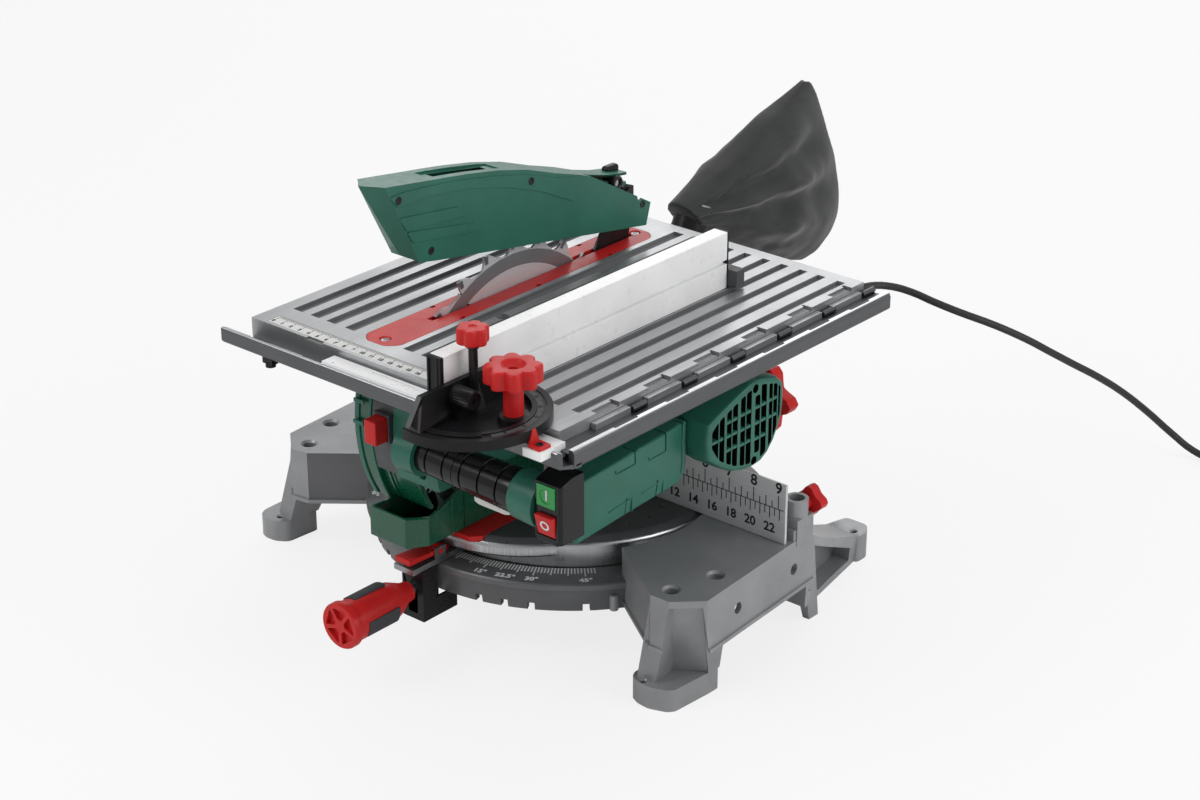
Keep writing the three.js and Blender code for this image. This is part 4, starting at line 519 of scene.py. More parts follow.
def coil_point(turn):
    """The coil spirals in on its first layer, climbs at the middle and spirals out on the second."""
    half = COIL_TURNS / 2
    radius = COIL_OUTER - COIL_PITCH * (half - abs(turn - half))
    climbed = min(1, max(0, (turn - half) / CLIMB + 0.5))
    angle = math.tau * turn - math.pi / 2
    return (COIL_X + radius * math.cos(angle), COIL_Y + COIL_OUTER + radius * math.sin(angle),
            COIL_Z + COIL_LIFT * climbed * climbed * (3 - 2 * climbed))


def make_cord():
    turns = [coil_point(k / COIL_STEPS) for k in range(COIL_TURNS * COIL_STEPS + 1)]
    x, y, z = turns[-1]
    tail = [(x + COIL_LEAD, y, z), (x + COIL_TAIL - COIL_LEAD, y, z + COIL_Z), (x + COIL_TAIL, y, z + COIL_Z)]
    points = CORD_ROUTE + [(COIL_X - COIL_LEAD / 2, COIL_Y, COIL_Z)] + turns + tail
    curve = bpy.data.curves.new("mains_cord", "CURVE")
    curve.dimensions = "3D"
    curve.bevel_depth = CORD_RADIUS * MM
    curve.bevel_resolution = 5
    curve.use_fill_caps = True
    curve.resolution_u = 4
    line = curve.splines.new("BEZIER")
    line.bezier_points.add(len(points) - 1)
    for point, place in zip(line.bezier_points, points):
        point.co = spot(*place)
        point.handle_left_type = point.handle_right_type = "AUTO"
    cord = linked("mains_cord", curve)
    curve.materials.append(PAINTS["cord_rubber"])
    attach(cord, "turntable")
    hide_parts("power_cord", "cord_coil")
    make_gland()
    make_plug(x + COIL_TAIL, y, z + COIL_Z)


def make_gland():
    """The tapered strain relief, ribbed along its length."""
    start, end, root, tip = 32.3, 60.0, 8.0, 4.6
    ribs, groove, flange, thick = 8, 0.7, 10.5, 4
    profile = [(0, start), (flange, start), (flange, start + thick)]
    for k in range(ribs):
        a = start + thick + (end - start - thick) * k / ribs
        b = start + thick + (end - start - thick) * (k + 0.62) / ribs
        radius = root + (tip - root) * k / ribs
        profile += [(radius, a), (radius, b), (radius - groove, b + groove / 2),
                    (radius - groove, b + groove)]
    profile += [(tip, end), (0, end)]
    gland = soften(lathe("strain_relief", "x", (179, 206), profile, 32), 0.3)
    return settle(gland, "cord_gland", "cord_rubber")


def make_plug(x, y, z):
    start = x + 0.3
    relief, body, nose, pin, pin_length, spread = 28, 38, 11.6, 2.4, 19, 9.5
    profile = [(0, start), (4.6, start), (5.2, start + 6), (8, start + relief), (13.4, start + relief + 5),
               (13.4, start + relief + body * 0.6), (nose, start + relief + body), (0, start + relief + body)]
    plug = lathe("mains_plug", "x", (y, z), profile, 40)
    pins = [rod("pin", "x", (y + way * spread, z), pin, start + relief + body - 1,
                start + relief + body + pin_length, 20) for way in (-1, 1)]
    return settle(soften(join(plug, *pins), 0.5), "plug", "black_plastic")


make_cord()


# Marks: ticks and plain numbers that stand a hair out of a face

def written(text, height, place, right, up):
    """A number's mesh, height millimetres tall, in the frame's metres."""
    curve = bpy.data.curves.new("number", "FONT")
    curve.body = text
    curve.size = height / 0.7 * MM
    curve.extrude = PROUD * MM
    curve.offset = 0.32 * MM
    curve.resolution_u = 4
    curve.align_x = "CENTER"
    curve.align_y = "CENTER"
    made = linked("number", curve)
    across, top = Vector(right).normalized(), Vector(up).normalized()
    turn = Matrix((across, top, across.cross(top))).transposed().to_4x4()
    mesh = result_mesh(made)
    mesh.transform(Matrix.Translation(spot(*place)) @ turn)
    bpy.data.objects.remove(made)
    return mesh


def marked(name, ticks, numbers, node, paint):
    """A piece of ticks (from, to, width, face normal) and numbers (text, height, place, right, up)."""
    work = bmesh.new()
    for start, end, width, face in ticks:
        p, q, out = Vector(start), Vector(end), Vector(face).normalized()
        side = out.cross(q - p).normalized() * (width / 2)
        low, high = -out * 0.2, out * PROUD
        ring = [p - side, q - side, q + side, p + side]
        verts = [work.verts.new(spot(*(c + shift))) for shift in (low, high) for c in ring]
        work.faces.new(verts[3::-1])
        work.faces.new(verts[4:])
        for i in range(4):
            work.faces.new((verts[i], verts[(i + 1) % 4], verts[(i + 1) % 4 + 4], verts[i + 4]))
    for number in numbers:
        work.from_mesh(written(*number))
    mesh = bpy.data.meshes.new(name)
    work.to_mesh(mesh)
    work.free()
    made = linked(name, mesh)
    return extra(made, node, paint)


def painted(obj, paint, chosen):
    """Gives the faces that chosen(centre, normal) picks another paint; the centre is in millimetres."""
    obj.data.materials.append(PAINTS[paint])
    index = len(obj.data.materials) - 1
    for face in obj.data.polygons:
        c = face.center
        if chosen(Vector((c.x / MM, c.y / MM - SHIFT, c.z / MM)), face.normal):
            face.material_index = index
    return obj


def star(name, axis, centre, tip, root, lobes, profile, steps=12, wide=0.6, turn=0.0):
    """Rings of a lobed outline; each is a share of the radius, a height and a share of the lobes' depth."""
    total = lobes * steps
    rings = []
    for share, height, depth in profile:
        ring = []
        for k in range(total):
            angle = math.tau * k / total
            wave = ((1 + math.cos(lobes * (angle - turn))) / 2) ** wide
            radius = share * ((root + (tip - root) * wave) * depth + (root + tip) / 2 * (1 - depth))
            ring.append(AXES[axis](centre[0] + radius * math.cos(angle),
                                   centre[1] + radius * math.sin(angle), height))
        rings.append(ring)
    return skin(name, rings)


def rounded(outline, radius, steps=4):
    """An outline with its corners rounded, each by no more than a third of its sides."""
    count = len(outline)
    made = []
    for i, corner in enumerate(outline):
        p, q, r = Vector(outline[i - 1]), Vector(corner), Vector(outline[(i + 1) % count])
        size = min(radius, (p - q).length / 3, (r - q).length / 3)
        a = q + (p - q).normalized() * size
        b = q + (r - q).normalized() * size
        for k in range(steps + 1):
            t = k / steps
            made.append(tuple(a * (1 - t) ** 2 + q * 2 * t * (1 - t) + b * t ** 2))
    return made


def inset(outline, distance):
    """An outline moved inwards; its corners run anticlockwise."""
    count = len(outline)
    lines = []
    for i in range(count):
        p, q = Vector(outline[i]), Vector(outline[(i + 1) % count])
        along = (q - p).normalized()
        normal = Vector((-along.y, along.x))
        lines.append((normal, normal.dot(p) + distance))
    made = []
    for i in range(count):
        (a, u), (b, v) = lines[i - 1], lines[i]
        det = a.x * b.y - a.y * b.x
        made.append(((u * b.y - v * a.y) / det, (a.x * v - b.x * u) / det))
    return made


def screw(name, axis, centre, radius, face, node, paint="black_metal"):
    """A low screw head with a cross slot in it, on a face."""
    foot = face - 2.0
    profile = [(0, face + 0.35), (radius * 0.7, face + 0.3), (radius * 0.82, face + 0.5),
               (radius, face + 0.55), (radius + 0.5, face + 0.1), (radius + 0.5, foot), (0, foot)]
    head = lathe(name, axis, centre, profile, 24)
    arm, width = radius * 0.5, radius * 0.16
    corners = [(-arm, -width), (-width, -width), (-width, -arm)]
    cross = []
    for _ in range(4):
        cross += [(centre[0] + u, centre[1] + v) for u, v in corners]
        corners = [(-v, u) for u, v in corners]
    cut = prism("cut", axis, cross, face + 0.02, face + 1)
    return extra(smooth(carve(head, cut)), node, paint)


# Saw table: grooved plate, scale, tabs, insert and rails

TOP = 291.5
PLATE = 6
TABLE_X = (-112, 216)
TABLE_Y = (-259.5, 120)
SKIRT = 262
WALL = 3
GROOVE_Y = (-226, 108)
GROOVE_DEPTH = 3.5
RULER_X = (-97, 79)
RULER_Y = (-256, -243)
BLADE_WAY_HALF = 13.5
NOTCH_HALF = 13
WIDE_GROOVES = [0.055, 0.115, 0.171, 0.235, 0.432, 0.491, 0.544]
NARROW_GROOVES = [0.603, 0.661, 0.722, 0.78, 0.839, 0.896, 0.957]
INSERT_MARKS = (-150, -60, 30)
INSERT_SCREWS = (("front", -221), ("rear", 84))
INSERT = {"half": 18.5, "front": -232, "back": 92, "corner": 9, "thick": 5}
POSTS = ((-62, 20), (100, 30))
TABS = (-205, -145, -85, -25, 35, 90)


def insert_outline(gap):
    half, front, back = INSERT["half"] + gap, INSERT["front"] - gap, INSERT["back"] + gap
    corner = INSERT["corner"]
    return rounded([(-half + corner, front), (half - corner, front), (half, front + corner),
                    (half, back - corner), (half - corner, back), (-half + corner, back),
                    (-half, back - corner), (-half, front + corner)], 7, 4)


def make_table():
    over = 12
    body = block("saw_table", TABLE_X, TABLE_Y, (SKIRT, TOP))
    below, above = TOP - PLATE - over, TOP + over
    cuts = [block("hollow", trimmed(TABLE_X, WALL), trimmed(TABLE_Y, WALL), (SKIRT - over, TOP - PLATE))]
    span = TABLE_X[1] - TABLE_X[0]
    for shares, width in ((WIDE_GROOVES, 10.5), (NARROW_GROOVES, 8)):
        for share in shares:
            x = TABLE_X[0] + span * share
            cuts.append(block("groove", (x - width / 2, x + width / 2), GROOVE_Y,
                              (TOP - GROOVE_DEPTH, above)))
    cuts.append(prism("seat", "z", insert_outline(0.3), TOP - INSERT["thick"] - 0.3, above))
    cuts.append(block("way", (-BLADE_WAY_HALF, BLADE_WAY_HALF), (-223, 22), (below, TOP)))
    cuts.append(block("knife_way", (-1.5, 1.5), (21, 80), (below, TOP)))
    cuts.append(block("ruler_seat", RULER_X, RULER_Y, (TOP - 0.8, above)))
    cuts.append(rod("hole", "z", (39, -128), 5.5, below, above, 32))
    for x, y in ((45.4, 109), (45.4, 77.5), (45.4, 47)):
        cuts.append(rod("mark", "z", (x, y), 1.6, TOP - 1.5, above, 16))
    for x in (-40, 92, 168):
        cuts.append(block("slot", (x - 9, x + 9), (TABLE_Y[0] - over, TABLE_Y[0] + 7), (TOP - 1.6, above)))
    for y in TABS:
        far = y + NOTCH_HALF
        cuts.append(block("notch", (TABLE_X[1] - 6, TABLE_X[1] + over), (y - NOTCH_HALF, far),
                          (TOP - 1.8, above)))
        cuts.append(block("nick", (TABLE_X[1] - 8.5, TABLE_X[1] + over), (far - 3, far), (TOP - 3.4, above)))
    carve(body, *cuts)
    posts = [rod("post", "z", place, 8, 216, TOP - PLATE + 0.3, 40) for place in POSTS]
    lugs = [block("lug", sorted((way * 1.5, way * 8)), (46, 72), (276, TOP - PLATE + 0.3)) for way in (-1, 1)]
    join(body, *posts, *lugs)
    soften(body, 0.45, 2)
    settle(body, "table_top", "table_grey")
    floor = TOP - GROOVE_DEPTH
    painted(body, "groove_grey", lambda c, n: TOP - PLATE < c.z < TOP - 0.25
            and (n.z > 0.9 or abs(n.z) < 0.3) and TABLE_X[0] + 1 < c.x < TABLE_X[1] - 1
            and TABLE_Y[0] + 1 < c.y < TABLE_Y[1] - 1 or c.z < floor - 3)
    extra(soften(block("ruler_strip", trimmed(RULER_X, 0.3), trimmed(RULER_Y, 0.3),
                       (TOP - 0.75, TOP - 0.1)), 0.1), "table_top", "white_strip")
    ticks, numbers = [], []
    start = RULER_Y[1] - 0.6
    for k in range(0, 169, 2):
        x = RULER_X[0] + 3 + k
        length = 5.2 if k % 10 == 0 else 2.8
        ticks.append(((x, start, TOP - 0.1), (x, start - length, TOP - 0.1), 0.5, (0, 0, 1)))
        if k % 10 == 0:
            numbers.append((str(k // 10), 3.4, (x, -252.3, TOP - 0.12), (1, 0, 0), (0, 1, 0)))
    marked("ruler_marks", ticks, numbers, "table_top", "ink_black")


def make_insert():
    half = INSERT["half"]
    body = prism("blade_insert", "z", insert_outline(0), TOP - INSERT["thick"], TOP)
    cuts = [block("slot", (-3, 3), (-171, 80), (TOP - 20, TOP + 5))]
    for y in INSERT_MARKS:
        for way in (-1, 1):
            cuts.append(block("notch", sorted((way * (half - 3.2), way * (half + 3))), (y - 2.5, y + 2.5),
                              (TOP - 2.2, TOP + 5)))
    for _, y in INSERT_SCREWS:
        cuts.append(lathe("well", "z", (0, y), [(0, TOP - 3), (2.6, TOP - 3), (5.2, TOP + 0.1),
                                                (5.2, TOP + 4), (0, TOP + 4)], 28))
    soften(carve(body, *cuts), 0.5)
    settle(body, "table_insert", "red_plastic")
    for end, y in INSERT_SCREWS:
        screw(f"insert_screw_{end}", "z", (0, y), 3.4, TOP - 1.4, "table_insert", "steel")


RAIL_FRONT = -280
RAIL_LOW = 272
RAIL_TOP = 285
RAIL_SIDE = 238
RAIL_BACK = -259.8
RAIL_NEAR = 216.4
THROUGH = (200, 320)


def make_rails():
    front = [(RAIL_FRONT, RAIL_LOW + 2), (RAIL_FRONT + 2, RAIL_LOW), (RAIL_BACK, RAIL_LOW - 2),
             (RAIL_BACK, RAIL_LOW + 2.4), (RAIL_FRONT + 4.4, RAIL_LOW + 2.4), (RAIL_FRONT + 4.4, RAIL_TOP),
             (RAIL_FRONT + 1.4, RAIL_TOP + 1), (RAIL_FRONT, RAIL_TOP)]
    body = prism("front_channel", "x", front, -129, RAIL_SIDE)
    corner = prism("cut", "z", [(222, -300), (252, -300), (252, -264), (RAIL_SIDE + 1, -264)], *THROUGH)
    end = prism("cut", "z", [(-150, -284), (-129.5, -284), (-108, -255), (-150, -255)], *THROUGH)
    notches = [block("notch", (x - 12, x + 12), (RAIL_FRONT + 2.6, RAIL_FRONT + 8), (RAIL_TOP - 3, 290))
               for x in (-84, -24)]
    soften(carve(body, corner, end, *notches), 0.5)
    settle(body, "front_rail", "rail_grey_x")
    # The front channel's top faces take bright metal: a painted highlight.
    painted(body, "front_rail_top_highlight", lambda c, n: c.z > RAIL_TOP - 1 and n.z > 0.6)
    side = [(216.3, RAIL_LOW - 2), (RAIL_SIDE - 2, RAIL_LOW - 2), (RAIL_SIDE, RAIL_LOW),
            (RAIL_SIDE, RAIL_TOP - 3), (RAIL_SIDE - 1.6, RAIL_TOP), (RAIL_SIDE - 6, RAIL_TOP),
            (RAIL_SIDE - 6, RAIL_LOW + 1), (216.3, RAIL_LOW + 1)]
    wall = prism("side_channel", "y", side, RAIL_FRONT + 12, 128)
    cuts = [block("notch", (RAIL_SIDE - 7, RAIL_SIDE - 4), (y - NOTCH_HALF, y + NOTCH_HALF),
                  (RAIL_TOP - 3, 290)) for y in TABS]
    soften(carve(wall, *cuts), 0.5)
    settle(wall, "right_rail", "rail_grey")
    # The side channel's top faces take bright metal: a painted highlight on the rail's top edge.
    painted(wall, "extruded", lambda c, n: c.z > RAIL_TOP - 2 and n.z > 0.6 and c.x < RAIL_SIDE - 1)
    for k, y in enumerate(TABS):
        tab = block("tab", (RAIL_NEAR, RAIL_NEAR + 5), (y - 20, y + 20), (276, 286.6))
        extra(soften(tab, 0.5), "right_rail", "table_grey", name=f"rail_tab_{k + 1}")
        roll = rod(f"rail_roll_{k + 1}", "y", (220.4, 283.8), 2.6, y + 22, y + 38, 20)
        extra(soften(roll, 0.5), "right_rail", "rail_grey")
    shelf = block("rail_shelf", (RAIL_NEAR, RAIL_SIDE - 6.2), (RAIL_FRONT + 12.5, 127.5), (280, 281.6))
    extra(soften(shelf, 0.4), "right_rail", "rail_grey")
    foot = join(block("rail_foot", (-81, -70), (RAIL_FRONT + 2, RAIL_FRONT + 9), (267, RAIL_LOW + 1)),
                rod("pad", "z", (-75.5, RAIL_FRONT + 5.6), 4.2, 264, 268, 24))
    extra(soften(foot, 0.7), "front_rail", "black_plastic")


make_table()
make_insert()
make_rails()


# Saw blade: hooked teeth with tips, slots, a polished middle and a darker rim

def make_blade():
    teeth, outer, root, half, through = 24, 127, 118, 1.0, 5
    tooth = [(0, outer), (0.05, outer - 0.4), (0.2, outer - 1.6), (0.34, root + 3.5), (0.42, root + 1.2),
             (0.55, root), (0.7, root - 1.5), (0.82, root - 1.2), (0.9, root + 1.2), (0.96, root + 4.5)]
    pitch = 360 / teeth
    outline = [polar(AXLE, radius, -pitch * (k + turn)) for k in range(teeth) for turn, radius in tooth]
    plate = prism("blade_plate", "x", outline[::-1], -half, half)
    cuts = [rod("bore", "x", AXLE, 8.3, -through, through, 40)]
    slot_start, slot_end, slot_half = 101, 124, 0.9
    for k in range(4):
        angle = math.tau * (k + 0.35) / 4
        along = Vector((math.cos(angle), math.sin(angle)))
        side = Vector((-along.y, along.x)) * slot_half
        start, end = Vector(AXLE) + along * slot_start, Vector(AXLE) + along * slot_end
        slot = [tuple(p) for p in (start - side, end - side, end + side, start + side)]
        cuts.append(prism("slot", "x", slot, -through, through))
        cuts.append(rod("relief", "x", tuple(start), 2.6, -through, through, 20))
    soften(carve(plate, *cuts), 0.12, 1)
    settle(plate, "saw_blade", "blade_steel")
    painted(plate, "blade_ring", lambda c, n: abs(n.x) < 0.5)
    rim_in, rim_out, rim_rise = 104, 116, 0.06
    for way, side_name in ((-1, "left"), (1, "right")):
        low, high = way * half, way * (half + rim_rise)
        ring = [(rim_in, low), (rim_out, low), (rim_out, high), (rim_in, high)]
        extra(smooth(lathe("blade_rim_" + side_name, "x", AXLE, ring, 96)), "saw_blade", "blade_ring")
    tip = [(0.2, 0.1), (-1.2, 4.2), (-7.5, 2.6), (-7.5, -0.9), (0.2, -1.1)]
    tips = []
    for k in range(teeth):
        angle = -math.tau * k / teeth
        along, side = Vector((math.cos(angle), math.sin(angle))), Vector((math.sin(angle), -math.cos(angle)))
        tips.append([tuple(Vector(AXLE) + along * (outer + out) + side * across) for out, across in tip])
    extra(soften(prisms("blade_tips", "x", tips, -1.35, 1.35), 0.15, 1), "saw_blade", "steel")


make_blade()


# Upper guard: a green hood with a ridged nose, a raised upper band and two stepped panels

def make_hood():
    half, wall, pin = 15, 2.4, (73, 332)
    top = [(-246, 425), (-229.8, 422.8), (-210, 420), (-185, 416.2), (-160, 412.6), (-137, 409),
           (-104, 402.8), (-69, 393.8), (-35, 381.6), (-5, 372), (19, 363), (40, 357), (58, 353.5),
           (83, 350)]
    outline = top + [(88, 327), (81, 303), (-60, 327.5), (-178, 348), (-194, 351.4), (-201.4, 355.6)]
    body = prism("blade_hood", "x", outline, -half, half)
    cheeks = []
    for way in (-1, 1):
        rings = []
        for y, z, nose in ((-192, 340, 2), (-246.6, 430, 13)):
            rings.append([(0, y - 30, z), (0, y - 0.4, z), (way * (half + 0.01), y + nose, z),
                          (way * (half + 6), y + nose + 1, z), (way * (half + 6), y - 30, z)])
        cheeks.append(skin("cheek", rings))
    body = carve(body, *cheeks)
    hollow = [(-215, 412)] + [(y, z - wall) for y, z in top[3:]] + [(100, 340), (100, 280), (-178, 280),
                                                                    (-181, 352)]
    cavity = prism("cavity", "x", hollow, -half + wall, half - wall)
    window = block("window", (-5, 5), (-166, -104), (380, 430))
    rear = block("rear", (-16, 3.5), (68, 100), (335, 364))
    seat = prism("seat", "x", [(-176, 428), (-95, 428), (-95, 399.4), (-176, 413.4)], -8, 8)
    step = prism("step", "x", [(-7, 375.8), (92, 319.4), (98, 372), (-7, 395)], 3.5, 30)
    carve(body, seat, step, rear)
    soften(body, 1.5, 3, 24)
    carve(body, cavity, window, rod("pin", "x", pin, 4.1, -30, 30, 24))
    smooth(body)
    settle(body, "upper_guard", "green_plastic")
    band = [(-226, 413.5), (-210, 414), (-185, 411.6), (-160, 408.7), (-137, 404.8), (-104, 398.6),
            (-69, 389.6), (-35, 378), (-10, 371.5), (-14, 351.5), (-54.7, 371.4), (-95, 386),
            (-138.8, 397.1), (-180, 403), (-217.5, 403.2)]
    high_panel = [(-216.5, 394.3), (-149, 385.4), (-141.8, 375.5), (-209, 381.6)]
    low_panel = [(-208.6, 380.6), (-131.4, 366.7), (-126.7, 358.5), (-203, 370.4)]
    raised = [("hood_band", band, 2, 1.0), ("hood_panel_high", high_panel, 3, 1.2),
              ("hood_panel_low", low_panel, 3, 1.2)]
    for name, corners, corner, proud in raised:
        made = prism(name, "x", rounded(corners[::-1], corner), half - 0.3, half + proud)
        extra(soften(made, 0.4), "upper_guard", "green_plastic")
    for k, centre in enumerate(((-217, 409), (-66, 383.5), (-182, 357.5), (76, 323.5))):
        screw(f"hood_screw_{k + 1}", "x", centre, 2.9, half + (1.05 if k < 2 else 0.05), "upper_guard")
    pivot = (53, 346.5)
    ring = lathe("hood_pivot_ring", "x", pivot, [(3.2, 1), (3.2, 6.6), (4.2, 7.4), (5.8, 7.4), (6.6, 6.4),
                                                 (6.6, 1)], 32)
    extra(smooth(ring), "upper_guard", "black_metal")
    extra(smooth(rod("hood_pivot_core", "x", pivot, 3.0, 1, 5.6, 24)), "upper_guard", "steel")
    settle(smooth(rod("hood_pin", "x", pin, 4, -13, 3, 24)), "guard_pivot", "black_metal")
    lug = block("hood_lug", (-12, -4), (52, 68), (345, 358))
    extra(soften(lug, 2.5, 3), "upper_guard", "black_plastic")


make_hood()


# Guide bar with its red pointer

def make_bar():
    body = block("slide_bar", (-15, 224), (-277.5, -262), (RAIL_LOW + 3, 286.5))
    cuts = [block("way", (30, 205), (-266, -264.4), (283.5, 300)),
            rod("dot", "z", (-6, -272.5), 1.3, 284, 300, 16),
            block("lip", (-40, 300), (-290, -275.8), (285.2, 300))]
    soften(carve(body, *cuts), 0.4)
    settle(body, "guide_bar", "white_metal")
    end = block("pointer_block", (208, 226), (-291, -276), (281, 288))
    extra(soften(end, 0.6), "guide_bar", "white_metal")
    plate = prism("pointer_plate", "z", rounded([(211, -289), (223.5, -289.8), (224, -277), (211, -276.5)],
                                                1.5), 288, 290)
    fin = skin("fin", [[(211, -288, 289), (212.8, -288, 289), (212.8, -277, 289), (211, -277, 289)],
                       [(210.2, -283.5, 300), (211.4, -283.5, 300), (211.4, -280, 300), (210.2, -280, 300)]])
    extra(soften(join(plate, fin), 0.4), "guide_bar", "red_plastic")
    screw("pointer_screw", "z", (217.5, -283), 2.6, 290.2, "guide_bar")


# Protractor: a round dish cut off by the wall that carries the rip fence

DISH = (150, -283)
DISH_FLAT = 138.9


def cut_disc(radius, flat=DISH_FLAT, count=40):
    edge = math.acos(max(-1, (flat - DISH[0]) / radius))
    return [(DISH[0] + radius * math.cos(edge * (2 * k / count - 1)),
             DISH[1] + radius * math.sin(edge * (2 * k / count - 1))) for k in range(count + 1)]


def make_protractor():
    body = prism("protractor_dish", "z", cut_disc(61), 291.9, 300)
    wall = prism("wall", "x", [(-341, 291.9), (-341, 299), (-327, 320.5), (-236, 320.5), (-228, 316),
                               (-223.5, 291.9)], DISH_FLAT, 143.6)
    join(body, wall)
    dish = prism("dish", "z", cut_disc(45, 144), 294.6, 310)
    well = lathe("well", "z", DISH, [(49, 299), (56, 299), (56, 305), (49, 305)], 72)
    well = carve(well, block("cut", (60, 144), (-400, -200), (290, 310)))
    carve(body, dish, well)
    soften(body, 0.8, 2)
    gusset = skin("gusset", [[(143, -326, 318), (143.6, -326, 318), (143.6, -325, 318.4)],
                             [(143, -341, 299.5), (155, -341.5, 299.5), (143, -287, 299.5)]])
    web = skin("web", [[(143, -296, 320), (144, -296, 320), (144, -270, 320), (143, -270, 320)],
                       [(143, -298, 294), (152, -298, 294), (152, -268, 294), (143, -268, 294)]])
    join(body, gusset, web)
    smooth(body)
    settle(body, "protractor", "black_plastic")
    painted(body, "graphite_plastic", lambda c, n: c.y < -326 and abs(n.x) < 0.3 and n.y < -0.4
            and c.x < 143.2 and c.z > 299 or c.z > 316 and n.z > 0.5 and c.y > -262 and c.x < 143)
    boss = lathe("knob_boss", "z", (183, -272.2), [(7.3, 294.7), (12, 294.7), (12, 299.4), (10.8, 300.2),
                                                   (7.3, 300.2)], 40)
    extra(smooth(boss), "protractor", "black_plastic")
    band = arc_band(DISH, 49.4, 55.6, -30, 74, 24)
    low, face = 298.9, 299.3
    extra(prism("degree_band", "z", band, low, face), "protractor", "graphite_plastic")
    ticks, numbers = [], []
    for k in range(0, 101, 2):
        angle = math.radians(-28 + k)
        out = Vector((math.cos(angle), math.sin(angle)))
        length = 3.0 if k % 10 == 0 else 1.7
        a, b = Vector(DISH) + out * 55.2, Vector(DISH) + out * (55.2 - length)
        ticks.append(((a.x, a.y, face), (b.x, b.y, face), 0.5, (0, 0, 1)))
        if k % 20 == 10:
            c = Vector(DISH) + out * 51.2
            numbers.append((str(k - 10), 2.6, (c.x, c.y, face), (out.y, -out.x, 0), (out.x, out.y, 0)))
    marked("degree_marks", ticks, numbers, "protractor", "ink_black")
    rib = arc_band(DISH, 50.5, 52.5, -100, -38, 18)
    extra(soften(prism("degree_rib", "z", rib, 298.6, 300.6), 0.4), "protractor", "black_plastic")
    nut = star("knurled_nut", "x", (-293, 311.5), 8, 7.2, 26,
               [(0.9, 142.2, 0), (1, 143, 1), (1, 162.5, 1), (0.9, 163.9, 0.5), (0.72, 163.9, 0),
                (0.68, 163, 0), (0.3, 163, 0), (0.26, 161.5, 0)], 4, 1.0)
    settle(smooth(nut, 50), "clamp_screw", "black_plastic")


def make_rip_fence():
    left, right, low, high = 124.5, 138.4, 291.8, 340.5
    profile = [(left, low), (right, low), (right, 313), (right - 4, 313), (right - 4, 316.4), (right, 316.4),
               (right, high), (left, high), (left, 316.4), (left + 4, 316.4), (left + 4, 313), (left, 313)]
    body = prism("fence_profile", "y", profile, -298, 35.5)
    pockets = [block("pocket", (left + 2.2, right - 2.2), (-310, 60), (low + 2.2, 310.5)),
               block("pocket", (left + 2.2, right - 2.2), (-310, 60), (319, high - 2.2))]
    soften(carve(body, *pockets), 0.5)
    settle(body, "rip_fence", "white_metal")
    cap = block("fence_end", (left, right), (-301.8, -298.3), (low, high))
    cap = carve(cap, block("cut", (left + 2, right - 5.4), (-310, -300.6), (low + 2, high - 2)))
    cap = join(cap, block("bar", (right - 4.6, right - 2.4), (-302.6, -301), (low + 1, high - 0.6)))
    settle(soften(cap, 0.5), "rip_cap", "black_plastic")
    settle(soften(block("fence_heel", (left + 1, 148), (36.2, 47), (293, 308)), 0.8), "rip_block",
           "graphite_plastic")
    extra(soften(block("fence_back", (left, right), (35.8, 37.4), (low, high)), 0.3), "rip_block",
          "black_plastic")


# Red knobs

def make_knobs():
    centre = (183, -272.25)
    head = star("fence_knob", "z", centre, 22, 17, 8, [(0.45, 325, 0), (0.92, 325, 1), (0.985, 325.8, 1),
                                                       (1, 327.5, 1), (1, 337.2, 1), (0.985, 338.8, 1),
                                                       (0.93, 339.9, 1), (0.84, 340, 0.7), (0.52, 340, 0),
                                                       (0.47, 339.4, 0), (0.36, 336.8, 0), (0.2, 336, 0),
                                                       (0.17, 333.5, 0)], 12, 0.62)
    stem = rod("stem", "z", centre, 7.6, 300.3, 326, 40)
    tip = rod("tip", "z", centre, 3.5, 272, 301, 24)
    settle(smooth(join(head, stem, tip), 40), "big_knob", "red_plastic")
    centre = (149, -278)
    head = star("clamp_knob", "z", centre, 12.5, 10, 6, [(0.4, 349, 0), (0.9, 349, 1), (0.98, 349.8, 1),
                                                         (1, 351, 1), (1, 359.6, 1), (0.97, 361.1, 1),
                                                         (0.9, 361.9, 1), (0.6, 362, 0), (0.3, 362, 0),
                                                         (0.24, 361, 0)], 12, 0.62)
    settle(smooth(head, 40), "small_knob", "red_plastic")
    post = lathe("clamp_post", "z", centre, [(0, 300.2), (4.6, 300.2), (4.6, 304), (3.5, 305), (3.5, 344),
                                             (4.6, 345), (4.6, 349.3), (0, 349.3)], 32)
    extra(smooth(post), "small_knob", "black_metal")


make_bar()
make_protractor()
make_rip_fence()
make_knobs()


# Dust bag: a cloth sleeve gathered at the port's mouth, fanning out to a slanting far edge

BAG_EDGE = [(318, 197), (330, 193), (352, 196), (374, 209), (385, 227), (385, 252), (374, 288), (357, 326),
            (342, 358), (333, 371), (327, 372)]
BAG_NECK = (150, 287.5)
NECK_HALF = 17.2
EDGE_HALF = 2.6
BELLY_HALF = 31
BAG_RIDGES = ((0.3, 0.05, 6), (0.47, 0.06, -7), (0.6, 0.05, 7), (0.72, 0.05, -8), (0.83, 0.04, 5))


def along_line(points, share):
    """A place on a broken line through points, share 0 to 1 of its length."""
    spans = [(Vector(b) - Vector(a)).length for a, b in zip(points, points[1:])]
    left = share * sum(spans)
    for a, b, span in zip(points, points[1:], spans):
        if left <= span or b is points[-1]:
            return Vector(a).lerp(Vector(b), min(1.0, left / span))
        left -= span
    return Vector(points[-1])


